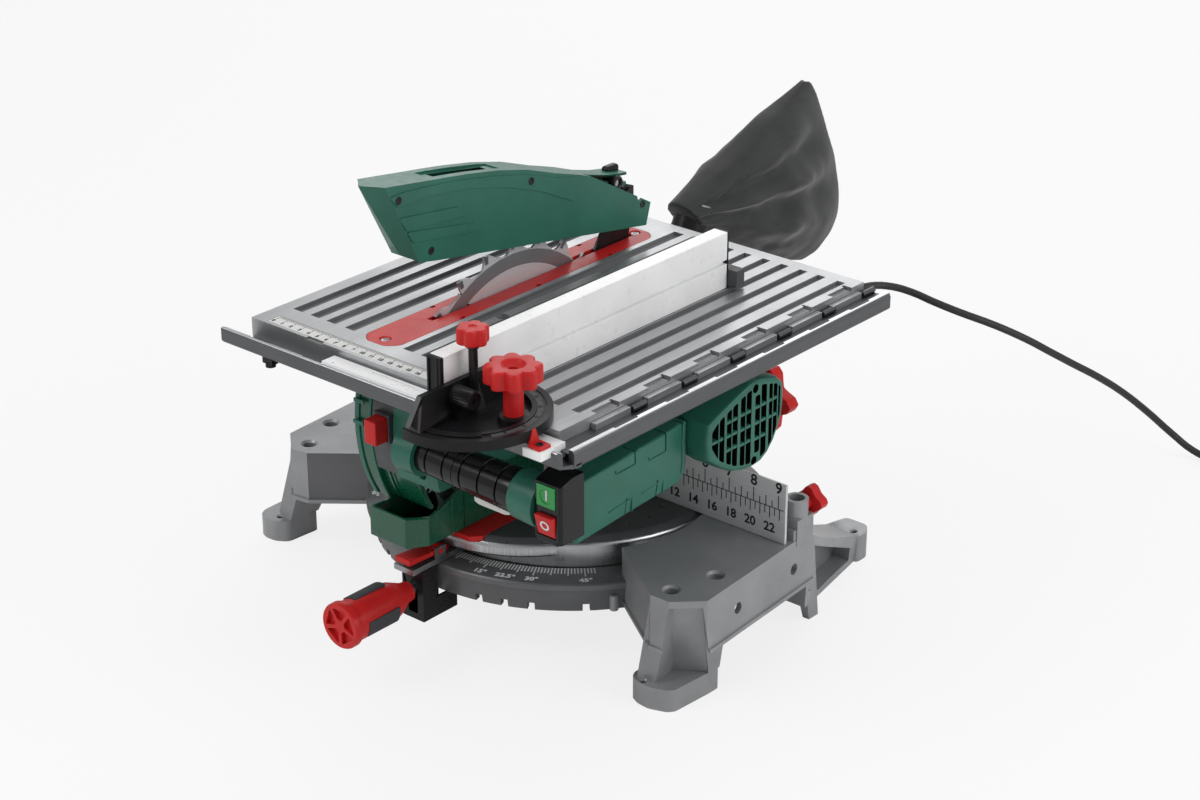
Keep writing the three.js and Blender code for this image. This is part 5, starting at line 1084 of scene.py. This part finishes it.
def make_bag():
    rings, steps, sides = [], 46, 72
    axis = Vector((0.8, 0.6))
    across = Vector((-axis.y, axis.x))
    for k in range(steps + 1):
        s = (k / steps) ** 1.15
        ring = []
        for i in range(sides):
            turn = math.tau * i / sides
            t = 0.5 - 0.5 * math.cos(turn)
            way = 1 if math.sin(turn) >= 0 else -1
            neck = Vector(BAG_NECK) + across * (NECK_HALF * (2 * t - 1))
            far = along_line(BAG_EDGE, t)
            place = neck.lerp(far, s)
            swell = math.sin(math.pi * min(1, s ** 0.8)) ** 0.7 * (1 - 0.25 * s)
            half = abs(math.sin(turn)) ** 0.75
            width = NECK_HALF * (1 - s) ** 1.2 * abs(math.sin(turn)) + EDGE_HALF * s
            width += BELLY_HALF * min(1,
                                      1.9 * s) * (1 - s ** 2.6) ** 0.8 * half * (0.55 + 0.5 * t * (1.6 - t))
            ridges = 0
            for centre, spread, depth in BAG_RIDGES:
                ridges += depth * math.exp(-((t - centre - 0.05 * way * (1 - s)) / spread) ** 2)
            fold = noise.noise(Vector((s * 5.5 + way * 7, t * 7, 1.3))) * 9
            fold += noise.noise(Vector((s * 12, t * 15 + way * 3, 4.1))) * 3.2
            sag = -9 * math.sin(math.pi * s) * (1 - t) ** 2
            width = max(1.2, width + (ridges * math.sin(math.pi * s ** 0.9) ** 0.8 + fold * swell) * half)
            drift = noise.noise(Vector((s * 4, t * 6, 9.7))) * 4 * swell
            ring.append((way * width, place.x + drift * 0.5, place.y + sag + drift))
        rings.append(ring)
    bag = skin("cloth_bag", rings)
    step = bag.modifiers.new("soft", "SUBSURF")
    step.levels = step.render_levels = 1
    applied(bag)
    bag.data.polygons.foreach_set("use_smooth", [True] * len(bag.data.polygons))
    settle(bag, "dust_bag", "cloth")


make_bag()


# Scales: mitre fence, rim of the base

FENCE_FACE = -6.2


def make_scales():
    ticks, numbers = [], []
    out, right, up, line = (0, -1, 0), (1, 0, 0), (0, 0, 1), 134
    quarter_inch, half_centimetre = 6.35, 5.0
    first, last = 16, 232
    for way in (-1, 1):
        ticks.append(((way * first, FENCE_FACE, line), (way * (last + 2), FENCE_FACE, line), 0.7, out))
        for k in range(3, 37):
            x = way * quarter_inch * k
            length = 12.5 if k % 4 == 0 else 9 if k % 2 == 0 else 6
            if first < abs(x) < last:
                ticks.append(((x, FENCE_FACE, line), (x, FENCE_FACE, line + length), 0.85, out))
                if k % 4 == 0:
                    numbers.append((str(k // 4), 9.5, (x, FENCE_FACE, line + 18.5), right, up))
        for k in range(4, 47):
            x = way * half_centimetre * k
            length = 10 if k % 2 == 0 else 7
            if first < abs(x) < last:
                ticks.append(((x, FENCE_FACE, line), (x, FENCE_FACE, line - length), 0.85, out))
                if k % 4 == 0:
                    numbers.append((str(k // 2), 8, (x, FENCE_FACE, 115), right, up))
    marked("fence_marks", ticks, numbers, "fence", "ink_black")
    ticks, numbers = [], []
    level, start, digits = 78.3, 151.4, 172
    for k in range(-48, 49):
        angle = math.radians(k)
        s, c = math.sin(angle), math.cos(angle)
        length = 14 if k % 15 == 0 else 12 if k % 5 == 0 else 9
        end = start + length
        ticks.append(((start * s, -start * c, level), (end * s, -end * c, level), 1.0, (0, 0, 1)))
    for value in CLICKS:
        for way in (-1, 1):
            angle = math.radians(way * value)
            s, c = math.sin(angle), math.cos(angle)
            numbers.append((f"{value:g}°", 5.6, (digits * s, -digits * c, level), (c, s, 0), (-s, c, 0)))
    marked("rim_marks", ticks, numbers, "base_casting", "ink_white")


make_scales()


# Motor cap: a rounded end with a grille of upright slots and short cross bars

CAP_FACE = 215
SCREW_SLOT = -19.6
CAP_SCREWS = ((-22.9, 243.6), (-23, 180.2))
CAP_COLUMNS = ((-78.5, -63, 0.0), (-59.5, -45.2, 0.28), (-41.9, -27.6, 0.5), (-23.2, -7.7, 0.72),
               (-5, 6.6, 0.95))
CAP_OUTLINE = [(-82, 232), (-84, 216), (-81, 200), (-66, 188.5), (-49, 179), (-36, 175.4), (-23, 174),
               (-12, 175.2), (-3, 180), (5, 188.5), (11, 199), (14.5, 208), (16, 218), (16.4, 228),
               (15, 237), (8, 243.6), (-14, 250), (-25, 250.6), (-36, 248), (-63, 239)]


def heights(outline, y):
    """The lowest and highest crossing of an outline in (y, z) with an upright line."""
    found = []
    for i, (ay, az) in enumerate(outline):
        by, bz = outline[(i + 1) % len(outline)]
        if (ay - y) * (by - y) <= 0 and ay != by:
            found.append(az + (bz - az) * (y - ay) / (by - ay))
    return min(found), max(found)


def make_cap():
    rings = []
    for distance, x in ((0, 190.4), (0, CAP_FACE - 4), (1.2, CAP_FACE - 1.4), (3.6, CAP_FACE)):
        rings.append([(x, y, z) for y, z in inset(CAP_OUTLINE, distance)])
    body = skin("motor_end", rings)
    field = inset(CAP_OUTLINE, 5.2)
    cuts = []
    slots = [(-74, 8.2), (-65.4, 6.4), (-56.2, 6.2), (-48.6, 6.6), (-38.6, 6.2), (-31, 6.6),
             (SCREW_SLOT, 6.4), (-11.4, 7), (-2.4, 4.6), (3.6, 5), (8.8, 2.6)]
    for y, width in slots:
        left, right = y - width / 2, y + width / 2
        low_a, high_a = heights(field, left + 0.4)
        low_b, high_b = heights(field, right - 0.4)
        if y == SCREW_SLOT:
            low_a, low_b, high_a, high_b = 186.5, 186.5, 237, 237
        corners = [(left, low_a), (right, low_b), (right, high_b), (left, high_a)]
        cuts.append(prism("slot", "x", rounded(corners, 2, 3), 204, CAP_FACE + 5))
    for place in CAP_SCREWS:
        cuts.append(rod("hole", "x", place, 3.7, 203, CAP_FACE + 5, 28))
    cuts.append(rod("bore", "x", MOTOR_AXIS, 12, 180, 206, 32))
    for cut in cuts:
        body = carve(body, cut)
    soften(body, 0.4, 2)
    settle(body, "motor_cap", "green_plastic")
    # The slots' walls and floors take gloss black: painted shade inside the vents.
    painted(body, "gloss_black_and_shade", lambda c, n: 203 < c.x < 212 and abs(c.y - MOTOR_AXIS[0]) < 50)
    bars = []
    for row in range(-1, 3):
        for first, last, share in CAP_COLUMNS:
            z = 214 + row * (11.2 + 3.6 * share) - 2.5 * share
            low, high = heights(field, (first + last) / 2)
            if z > high - 7 or z < low + 7 or (row == 2 and share < 0.4):
                continue
            bars.append(block("bar", (208, CAP_FACE - 0.3), (first, last), (z - 1.4, z + 1.4)))
    extra(soften(join(*bars), 0.4, 1), "motor_cap", "green_plastic", name="cap_bars")
    for k, place in enumerate(CAP_SCREWS):
        screw(f"cap_screw_{k + 1}", "x", place, 2.9, CAP_FACE - 7, "motor_cap")


make_cap()


# Handle arm, grip, trigger and switch box

ARM_FACE = 195


def make_arm():
    profile = [(-212.6, 171), (-150, 175), (-92, 178), (-84.4, 186), (-84.4, 231.6), (-140, 228.6),
               (-189.8, 225.4), (-212.6, 224)]
    body = prism("arm_shell", "x", profile, 168.3, ARM_FACE)
    tilt = prism("tilt", "z", [(ARM_FACE + 0.01, -213), (ARM_FACE + 8, -213), (ARM_FACE + 8, -80),
                               (ARM_FACE + 0.01, -80)], 150, 250)
    low = skin("low", [[(ARM_FACE, y, 196.8), (ARM_FACE + 9, y, 196.8), (ARM_FACE + 9, y, 160),
                        (ARM_FACE - 5, y, 160)] for y in (-214, -70)])
    body = carve(body, low, tilt)
    soften(body, 2.2, 3, 20)
    cuts = []
    for y, z0, z1 in ((-90.6, 160, 250), (-111, 214.6, 250), (-148.2, 217.2, 250), (-119.8, 160, 192.4),
                      (-157, 160, 190.6)):
        cuts.append(block("seam", (ARM_FACE - 1.6 - (2.6 if z1 < 200 else 0), 210), (y - 0.8, y + 0.8),
                          (z0, z1)))
    cuts.append(block("seam", (160, 210), (-91.2, -90), (224, 250)))
    for y in (-111, -148.2):
        cuts.append(block("seam", (182, 210), (y - 0.8, y + 0.8), (225, 250)))
    for k, x in enumerate((181.5, 185)):
        cuts.append(skin("line", [[(x - 0.4, -150 + 8 * k, 228.5), (x + 0.4, -150 + 8 * k, 228.5),
                                   (x + 0.4, -150 + 8 * k, 245), (x - 0.4, -150 + 8 * k, 245)],
                                  [(x - 0.4, -118, 231), (x + 0.4, -118, 231), (x + 0.4, -118, 245),
                                   (x - 0.4, -118, 245)]]))
    for cut in cuts:
        carve(body, cut)
    collar = lathe("collar", "x", GRIP_AXIS, [(0, 147.3), (19.6, 147.3), (20.4, 149), (21.4, 168),
                                              (21.4, 173.6), (0, 173.6)], 64)
    join(body, collar)
    smooth(body)
    settle(body, "handle_arm", "green_plastic")
    raised = []
    for start, end in (((-111.5, 214.2), (-130.5, 213.6)), ((-148.6, 216.8), (-170, 216.4)),
                       ((-130.5, 213.6), (-132, 216.4)), ((-170, 216.4), (-171.6, 219.4)),
                       ((-112, 190), (-112, 178)), ((-150, 188.6), (-150, 177)),
                       ((-112, 190), (-139, 187.6)), ((-150, 188.6), (-178, 186))):
        p, q = Vector(start), Vector(end)
        along = (q - p).normalized()
        side = Vector((-along.y, along.x)) * 0.55
        depth = 0 if start[1] > 200 else 1.6
        corners = [tuple(v) for v in (p - side, q - side, q + side, p + side)]
        raised.append(prism("edge", "x", corners, ARM_FACE - 2.4 - depth, ARM_FACE + 0.9 - depth))
    extra(soften(join(*raised), 0.25, 2), "handle_arm", "green_plastic", name="arm_edges")


def make_grip():
    start, end = 45.3, 147
    y = GRIP_AXIS[0]
    profile = [(0, start), (14.5, start), (14.5, 48)]
    for x in (57, 76, 95, 115, 134):
        r = 14.5 + (x - start) / (end - start) * 4
        profile += [(r, x - 1.1), (r - 1.3, x - 0.5), (r - 1.3, x + 0.5), (r, x + 1.1)]
    profile += [(18.5, 144.5), (18.2, end), (0, end)]
    body = lathe("grip_shell", "x", GRIP_AXIS, profile, 72)
    carve(body, block("pocket", (98, 138), (y - 4.6, y + 4.6), (178, 203)))
    seam = lathe("seam", "x", GRIP_AXIS, [(10, 86), (30, 86), (30, 86.7), (10, 86.7)], 72)
    carve(body, seam)
    settle(smooth(body), "grip", "gloss_black_and_shade")
    key = prism("trigger_key", "y", rounded([(99, 195.6), (99, 184.5), (104, 182.8), (131, 182.8),
                                             (137, 184.5), (137, 195.6)], 3), y - 4.1, y + 4.1)
    settle(soften(key, 1.4, 3), "trigger", "pale_plastic")


def make_switch():
    left, right, front, back, low, high = 172.5, 199, -240.4, -212, 182, 236
    plan = [(left, back), (left, front + 3), (left + 3, front), (right - 3, front), (right, front + 3),
            (right, back)]
    body = prism("switch_shell", "z", plan, low, high)
    slope = skin("slope", [[(x, front - 1, high - 5), (x, back + 1, high + 4), (x, back + 1, high + 12),
                            (x, front - 1, high + 12)] for x in (left - 5, right + 5)])
    spans, hole_x, middle = ((212.6, 231.4), (188.2, 207)), (176.8, 195.8), 186.3
    holes = [block("hole", hole_x, (front - 5, front + 7), span) for span in spans]
    body = carve(body, slope)
    soften(body, 1.2, 2)
    for hole in holes:
        carve(body, hole)
    smooth(body)
    settle(body, "switch_box", "gloss_black_and_shade")
    frame_ring = block("switch_frame", (174.8, 197.4), (front - 1.2, front + 0.4), (186, 233))
    for span in spans:
        carve(frame_ring, block("hole", hole_x, (front - 5, front + 7), span))
    extra(soften(frame_ring, 0.5), "switch_box", "gloss_black_and_shade")
    on = block("start_button", (177.2, 195.4), (front - 1.8, front + 4), (213, 231))
    on = carve(on, lathe("cup", "y", (middle, 222), [(0, front - 0.8), (6, front - 1.1), (7, front - 4),
                                                     (0, front - 4)], 32))
    settle(soften(on, 0.7), "button_on", "button_green")
    off = skin("stop_button", [[(x, front - 5.4, 206.6), (x, front - 0.8, 188.6), (x, front + 4, 188.6),
                                (x, front + 4, 206.6)] for x in (177.2, 195.4)])
    settle(soften(off, 0.9), "button_off", "red_plastic")
    marked("start_mark", [], [("I", 8, (middle, front - 1.1, 222), (1, 0, 0), (0, 0, 1))], "button_on",
           "ink_white")
    lean = Vector((0, -4.6, 18)).normalized()
    marked("stop_mark", [], [("O", 8, (middle, front - 3.15, 197.6), (1, 0, 0), tuple(lean))], "button_off",
           "ink_white")


make_arm()
make_grip()
make_switch()


# Base casting: two wings with legs and rear struts about the round rim

BENCH = 103.6
SKIRT_LOW = 55
RIM_TOP = 78.3
RIM_OUT = 180
WELL = 150.8
SOCKET = (229.5, 18)
HUB = 20.4
BULGE_WAY = 112.8


def mirror(points):
    """A plan outline on the other side, in the same turning sense."""
    return [(-x, y) for x, y in points][::-1]


def rising(name, levels):
    """A solid whose outline in plan changes with height; levels are (outline, height)."""
    return skin(name, [[(x, y, z) for x, y in outline] for outline, z in levels])


RIGHT_WING = [(110, 32), (110, -63), (141.5, -63), (137.5, -95.2), (205.9, -141.6), (224.4, -141.4),
              (246.6, -120.4), (237, 32)]
LEFT_WING = mirror([(110, 32), (110, -63), (133, -63), (131, -95.2), (186, -140.6), (203.4, -143),
                    (227, -121.8), (237, 32)])
RIGHT_LEG = ([(205.9, -141.4), (224.3, -141.3), (246.3, -120), (241.5, -82), (200, -82)],
             [(187.5, -135.2), (205.7, -134.4), (228.4, -97), (228.4, -79.5), (186, -79.5)])
SCOOP = ([(206, -134.6), (203.4, -109), (227.4, -94), (262, -110), (240, -170)],
         [(224.6, -141.8), (226.2, -137.6), (242.6, -121.4), (264, -140), (244, -170)])
LEFT_LEG = ([(-186.4, -140.2), (-186, -82), (-225, -82), (-226.6, -121.4), (-204.6, -141.6),
             (-203.2, -142.6)], [(-224, -130), (-222, -97), (-246, -97), (-250, -108), (-237, -112),
                                 (-239, -131)])
RIGHT_PAD = [(182, -131), (185, -138), (194, -142.4), (206, -143.4), (221, -138), (225.4, -133), (228.6, -92),
             (228.6, -79.5), (186, -79.5)]
LEFT_PAD = [(-258, -130), (-254, -137.4), (-246, -140.4), (-235, -140), (-224, -133), (-221.4, -98),
            (-246, -96), (-259, -102)]
REAR_LEG = ([(221, 14), (238.6, 14), (238.6, 31.5), (221, 31.5)],
            [(211, 58), (217.6, 58), (217.6, 71), (211, 71)])
REAR_PAD = [(151, 168), (188.6, 168), (188.6, 183), (180.5, 194), (158, 194)]


def strut_side(way):
    rings = [[(way * 196, 28, 30), (way * 234, 28, 30), (way * 236.6, 28, 100), (way * 196, 28, 100)],
             [(way * 175, 94, 0), (way * 199, 94, 0), (way * 212, 94, 62), (way * 175, 94, 62)],
             [(way * 153, 172, 0), (way * 184.6, 172, 0), (way * 187, 172, 25), (way * 153, 172, 25)]]
    body = skin("strut", rings)
    scoop = [[(way * 216, 36, 42), (way * 260, 36, 42), (way * 260, 36, 86), (way * 220, 36, 86)],
             [(way * 185, 94, 8), (way * 240, 94, 8), (way * 240, 94, 53), (way * 194, 94, 53)],
             [(way * 170, 156, 7), (way * 220, 156, 7), (way * 220, 156, 20), (way * 173, 156, 20)]]
    return carve(body, skin("scoop", scoop))


def make_base():
    parts = []
    for way, wing, leg, pad in ((1, RIGHT_WING, RIGHT_LEG, RIGHT_PAD), (-1, LEFT_WING, LEFT_LEG, LEFT_PAD)):
        body = prism("wing", "z", wing, SKIRT_LOW, BENCH)
        hollow = prism("hollow", "z", inset(wing, 5), SKIRT_LOW - 20, BENCH - 6)
        keep = rod("keep", "z", (0, 0), WELL + 6, 0, 200, 128)
        carve(body, carve(hollow, keep))
        lip = prism("lip", "z", inset(wing, -1.6), SKIRT_LOW, SKIRT_LOW + 3.4)
        lip = carve(lip, prism("inner", "z", inset(wing, 4), 0, 90),
                    rod("keep", "z", (0, 0), WELL, 0, 200, 128))
        column = rising("column", ((leg[1], 19), (leg[0], 99)))
        base = prism("pad", "z", rounded(pad, 5), 0, 20)
        rear = REAR_LEG if way > 0 else tuple(mirror(points) for points in REAR_LEG)
        heel = rising("heel", ((rear[1], 0), (rear[0], 98)))
        rear_pad = prism("rear_pad", "z", rounded(REAR_PAD if way > 0 else mirror(REAR_PAD), 5), 0, 25)
        block_low = block("socket_low", sorted((way * 203, way * 238)), (3.5, 28), (98, 113))
        block_high = block("socket_high", sorted((way * 220, way * 239)), (7, 29), (98, 121))
        tube = rod("socket_tube", "z", (way * SOCKET[0], SOCKET[1]), 9.8, 98, 136, 48)
        join(body, lip, column, base, heel, strut_side(way), rear_pad, block_low, block_high, tube)
        parts.append(body)
    rim = lathe("rim", "z", (0, 0), [(HUB, 62), (167.5, 62), (167.5, 50.8), (173.5, 50.8), (178.2, 71.4),
                                     (RIM_OUT, 72.6), (RIM_OUT, 77.2), (178.8, RIM_TOP), (WELL, RIM_TOP),
                                     (WELL, 70), (HUB, 70)], 160)
    whole = join(*parts)
    carve(whole, rod("well", "z", (0, 0), WELL, 69, 120, 160))
    whole = join(whole, rim)
    whole.name = "bench_base"
    cuts = []
    for angle in (-48, -36, -24, 24, 36, 48):
        place = Matrix.Rotation(math.radians(angle), 2) @ Vector((0, -55))
        cuts.append(rod("way", "z", tuple(place), BULGE_WAY, 84.6, 130, 96))
    cuts.append(rising("scoop", ((SCOOP[0], 20.2), (SCOOP[1], 97.4))))
    cuts.append(block("low_rear", (-172, 172), (60, 200), (62.6, 90)))
    corners = [(-3, -184), (3, -184), (3, -166), (-3, -166)]
    for angle in (*(-click for click in CLICKS[::-1]), 0, *CLICKS):
        turn = Matrix.Rotation(math.radians(angle), 2)
        cuts.append(prism("notch", "z", [tuple(turn @ Vector(c)) for c in corners], 40, 57.8))
    for way in (-1, 1):
        for place in (((213.2, -124.2), (225, -82.4)) if way > 0 else ((-198.7, -125.3), (-215, -83))):
            cuts.append(rod("hole", "z", place, 5.8, 80, 120, 28))
            cuts.append(lathe("sink", "z", place, [(0, BENCH - 2), (5.8, BENCH - 2), (7.9, BENCH + 0.1),
                                                   (7.9, 112), (0, 112)], 32))
        for y in (-77, 4.4):
            cuts.append(rod("window", "x", (y, 78), 5, *sorted((way * 226, way * 256)), 28))
        cuts.append(rod("bore", "z", (way * SOCKET[0], SOCKET[1]), 6.6, 50, 140, 32))
    for place, top in (((197, -138.4), 20), ((-237, -130), 20), ((178.7, 176), 25), ((-178.7, 176), 25)):
        cuts.append(rod("screw", "z", place, 2.6, -5, 40, 20))
        cuts.append(lathe("sink", "z", place, [(0, top - 1), (2.6, top - 1), (3.8, top + 0.1),
                                               (3.8, top + 3), (0, top + 3)], 24))
    for cut in cuts:
        carve(whole, cut)
    soften(whole, 1.5, 3, 26)
    settle(whole, "base_casting", "cast_grey", name="bench_base")
    painted(whole, "dark_cast", lambda c, n: math.hypot(c.x, c.y) < RIM_OUT + 1 and c.z < RIM_TOP + 1
            and c.y < 0 and math.hypot(c.x, c.y) > WELL - 1)
    pin = rod("rim_pin", "z", (140, -108), 3.8, 52, 66, 24)
    extra(soften(pin, 0.6), "base_casting", "cast_grey")


def make_turntable():
    body = copied("turntable", whole=False)
    soften(body, 0.6, 2)
    settle(body, "turntable", "disc_dark")
    # The rim's side faces take bright metal: a painted highlight, while the top stays dark.
    painted(body, "turntable_edge_highlight", lambda c, n: math.hypot(c.x, c.y) > 140 and abs(n.z) < 0.5 and c.z > 71)


make_base()
make_turntable()


# Front of the head: lower guard with its ribs, lower box, details of the housing

def sector(name, x, radii, angles, steps=40):
    """A piece of a ring about the axle, between two radii and two angles from the rear."""
    return prism(name, "x", arc_band(AXLE, *radii, *angles, steps), *x)


def make_guard():
    sweep, ribbed, lined = (151, 211), (152, 210.6), (190, 210.4)
    side = (-47, -44.4)
    band = sector("guard_band", (-47, -28.1), (133.6, 138), sweep)
    shell = sector("shell", (-28.6, 14.6), (131.5, 134.4), sweep)
    plate = prism("plate", "x", [AXLE] + [polar(AXLE, 136, angle) for angle in range(151, 212, 3)], *side)
    join(band, shell, plate, rod("hub", "x", AXLE, 30, *side, 64))
    carve(band, rod("bore", "x", AXLE, 20.4, -60, -30, 48))
    settle(soften(band, 0.5), "lower_guard", "dark_green_plastic")
    ribs = join(sector("guard_ribs", (-46.6, -41.5), (137.4, 139.4), ribbed),
                sector("rib", (-31.6, -28.3), (137.4, 139.0), ribbed))
    extra(soften(ribs, 0.7), "lower_guard", "green_plastic")
    lines = join(sector("guard_lines", (-21, -18.6), (134, 135.6), lined),
                 sector("rib", (-15.4, -14), (134, 135.2), lined),
                 sector("rib", (12, 14.4), (134, 135.6), lined))
    extra(soften(lines, 0.4), "lower_guard", "dark_green_plastic")
    dashes = [sector("housing_dashes", (-45.6, -34), (140.6, 142.2), (angle, angle + 1.3), 4)
              for angle in (156, 163.5, 171, 178.5)]
    extra(soften(join(*dashes), 0.3), "blade_housing", "green_plastic")


def make_box():
    profile = [(-213, 104), (-213, 130.6), (-194, 129.4), (-174, 136), (-155, 144.5), (-128, 156),
               (-56, 156), (-56, 104)]
    body = prism("chip_box", "x", profile, -34, 18)
    corner = prism("corner", "z", [(5, -216), (18.4, -196.4), (40, -196.4), (40, -216)], 80, 180)
    pocket = prism("pocket", "z", [(-31, -209.6), (3.4, -209.6), (14.6, -194), (14.6, -60), (-31, -60)],
                   107, 180)
    slot = block("slot", (-5, 5), (-198, -60), (90, 120))
    carve(body, corner, pocket, slot)
    soften(body, 0.9, 3)
    settle(body, "lower_box", "dark_green_plastic")
    # The pocket's inner faces take gloss black: painted shade inside the open box.
    painted(body, "gloss_black_and_shade", lambda c, n: -31.3 < c.x < 14.9 and -209.8 < c.y < -59.8 and 105 < c.z < 129
            and n.y > -0.9 and not (n.x > 0.2 and n.y < -0.2))
    seam = block("box_seam", (17.4, 18.25), (-155.8, -155.2), (105, 143.6))
    extra(seam, "lower_box", "black_plastic")
    extra(soften(block("box_rib", (17.6, 18.9), (-170, -168.4), (105, 137)), 0.4), "lower_box",
          "dark_green_plastic")


make_guard()
make_box()


# Motor housing: a rounded barrel that widens to the cap

def make_motor():
    rings = []
    for x, distance in ((45.5, 5), (60, 5), (150, 4.2), (176, 2), (188, 0), (190, 0)):
        rings.append([(x, y, z) for y, z in inset(CAP_OUTLINE, distance)])
    body = skin("motor_barrel", rings)
    sleeve = rod("sleeve", "z", POSTS[1], 12.5, 205, 250, 48)
    web = block("web", (92, 108), (0, 30), (205, 238))
    join(body, sleeve, web)
    carve(body, rod("bore", "x", MOTOR_AXIS, 33, 50, 230, 64))
    carve(body, rod("end", "x", MOTOR_AXIS, 6.4, 40, 60, 32))
    carve(body, rod("way", "z", POSTS[1], 8.3, 190, 300, 40))
    soften(body, 0.8, 2)
    settle(body, "motor_housing", "green_plastic")


# Front handle: a red grip with rubber panels and a spoked end

def make_handle():
    axis = (0, 60)
    body = lathe("clamp_handle", "y", axis, [(0, -275.6), (17.6, -275.6), (18.0, -268), (17.2, -240),
                                             (15.6, -226), (9.4, -212), (8.6, -206), (7, -205), (0, -205)],
                 64)
    bore = rod("bore", "y", axis, 5.4, -236.4, -200, 32)
    carve(body, bore)
    settle(smooth(body), "handle_body", "red_plastic")
    panels = [prism("handle_panels", "y", arc_band(axis, 16.4, 18.9, angle, angle + 46, 8), -268, -233)
              for angle in (84, 204, 324)]
    settle(soften(join(*panels), 0.7), "handle_sleeve", "soft_rubber")
    cap = lathe("handle_end", "y", axis, [(0, -276), (19.4, -276), (20, -277.5), (20, -282.5), (19.2, -284),
                                          (0, -284)], 64)
    for k in range(5):
        middle = 90 + 72 * k
        wedge = [polar(axis, 5.6, middle + 20), polar(axis, 5.6, middle - 20),
                 polar(axis, 16.6, middle - 30), polar(axis, 16.6, middle + 30)]
        carve(cap, prism("pocket", "y", rounded(wedge, 2.4, 3), -290, -280.4))
    settle(soften(cap, 0.5, 2), "handle_cap", "red_plastic")


make_motor()
make_handle()


# Every other node: its own shape with its paint and the width of its rounded edges

FINISHES = {"fence": ("fence_metal", 0.4), "socket_knob": ("red_plastic", 1.2),
            "pivot_bolt": ("steel", 0.8), "kerf_insert": ("red_plastic", 0.6),
            "front_bracket": ("black_metal", 0.5), "angle_pointer": ("red_plastic", 0.4),
            "bevel_arm": ("cast_grey", 1.4), "bevel_pin": ("steel", 0.8), "chop_shaft": ("steel", 0.6),
            "bevel_knob": ("red_plastic", 2.0), "detent_lever": ("red_plastic", 0.8),
            "handle_rod": ("steel", 0.3), "blade_housing": ("green_plastic", 1.0),
            "housing_strip": ("graphite_plastic", 0.6), "lock_button": ("red_plastic", 1.2),
            "armature": ("steel", 0.5), "pinion": ("steel", 0.15), "gear": ("steel", 0.15),
            "spindle": ("steel", 0.5), "arbor_bolt": ("steel", 0.5), "outer_flange": ("steel", 0.4),
            "inner_flange": ("steel", 0.4), "dust_port": ("black_plastic", 0.8), "bag_clip": ("steel", 0.1),
            "riving_knife": ("black_metal", 0.3)}

# The blade housing's flat faces stay divided, as they shade badly when merged.
for node, (paint, width) in FINISHES.items():
    settle(soften(copied(node, whole=node != "blade_housing"), width), node, paint)


# Stage: floor, world and lamps

def make_stage():
    half, thick, gap = 30000, 20, 0.02
    floor = block("floor", (-half, half), (-half, half), (-thick, -gap))
    shade = Shader("floor", 0.7)
    shade.colour((0.86, 0.86, 0.86))
    glow = shade.node("ShaderNodeEmission", Color=(1, 1, 1, 1), Strength=1.0)
    path = shade.node("ShaderNodeLightPath")
    blend = shade.node("ShaderNodeMixShader")
    amount = shade.node("ShaderNodeMath", operation="MULTIPLY")
    amount.inputs[1].default_value = 0.8
    shade.link(path.outputs["Is Camera Ray"], amount.inputs[0])
    shade.link(amount.outputs[0], blend.inputs[0])
    shade.link(shade.shader.outputs["BSDF"], blend.inputs[1])
    shade.link(glow.outputs[0], blend.inputs[2])
    shade.link(blend.outputs[0], shade.out.inputs["Surface"])
    floor.data.materials.append(shade.material)
    world = bpy.data.worlds.new("world")
    bpy.context.scene.world = world
    world.use_nodes = True
    tree = world.node_tree
    lit = tree.nodes["Background"]
    lit.inputs["Color"].default_value = (1, 1, 1, 1)
    path = tree.nodes.new("ShaderNodeLightPath")
    seen = tree.nodes.new("ShaderNodeMath")
    seen.operation = "MAXIMUM"
    tree.links.new(path.outputs["Is Camera Ray"], seen.inputs[0])
    tree.links.new(path.outputs["Is Transmission Ray"], seen.inputs[1])
    level = tree.nodes.new("ShaderNodeMapRange")
    level.inputs["To Min"].default_value = 0.5
    level.inputs["To Max"].default_value = 1.0
    tree.links.new(seen.outputs[0], level.inputs["Value"])
    tree.links.new(level.outputs["Result"], lit.inputs["Strength"])


def make_lamp(name, place, target, size, radiance):
    """A soft rectangular lamp of a plain radiance, turned to a target."""
    data = bpy.data.lights.new(name, "AREA")
    data.shape = "RECTANGLE"
    data.size, data.size_y = size[0] * MM, size[1] * MM
    data.energy = radiance * math.pi * data.size * data.size_y
    lamp = linked(name, data)
    lamp.location = spot(*place)
    lamp.rotation_euler = (spot(*target) - lamp.location).to_track_quat("-Z", "Y").to_euler()


make_stage()
make_lamp("key", (-900, -1900, 1900), (0, 0, 150), (1600, 1200), 3.4)
make_lamp("side", (2300, 500, 1200), (0, 0, 150), (1400, 1400), 3.2)
make_lamp("back", (-1350, 2700, 1500), (0, 0, 200), (2600, 1600), 1.5)
make_lamp("top", (100, 200, 2400), (0, 0, 200), (1200, 1200), 0.9)

bpy.context.scene.view_settings.view_transform = "Standard"
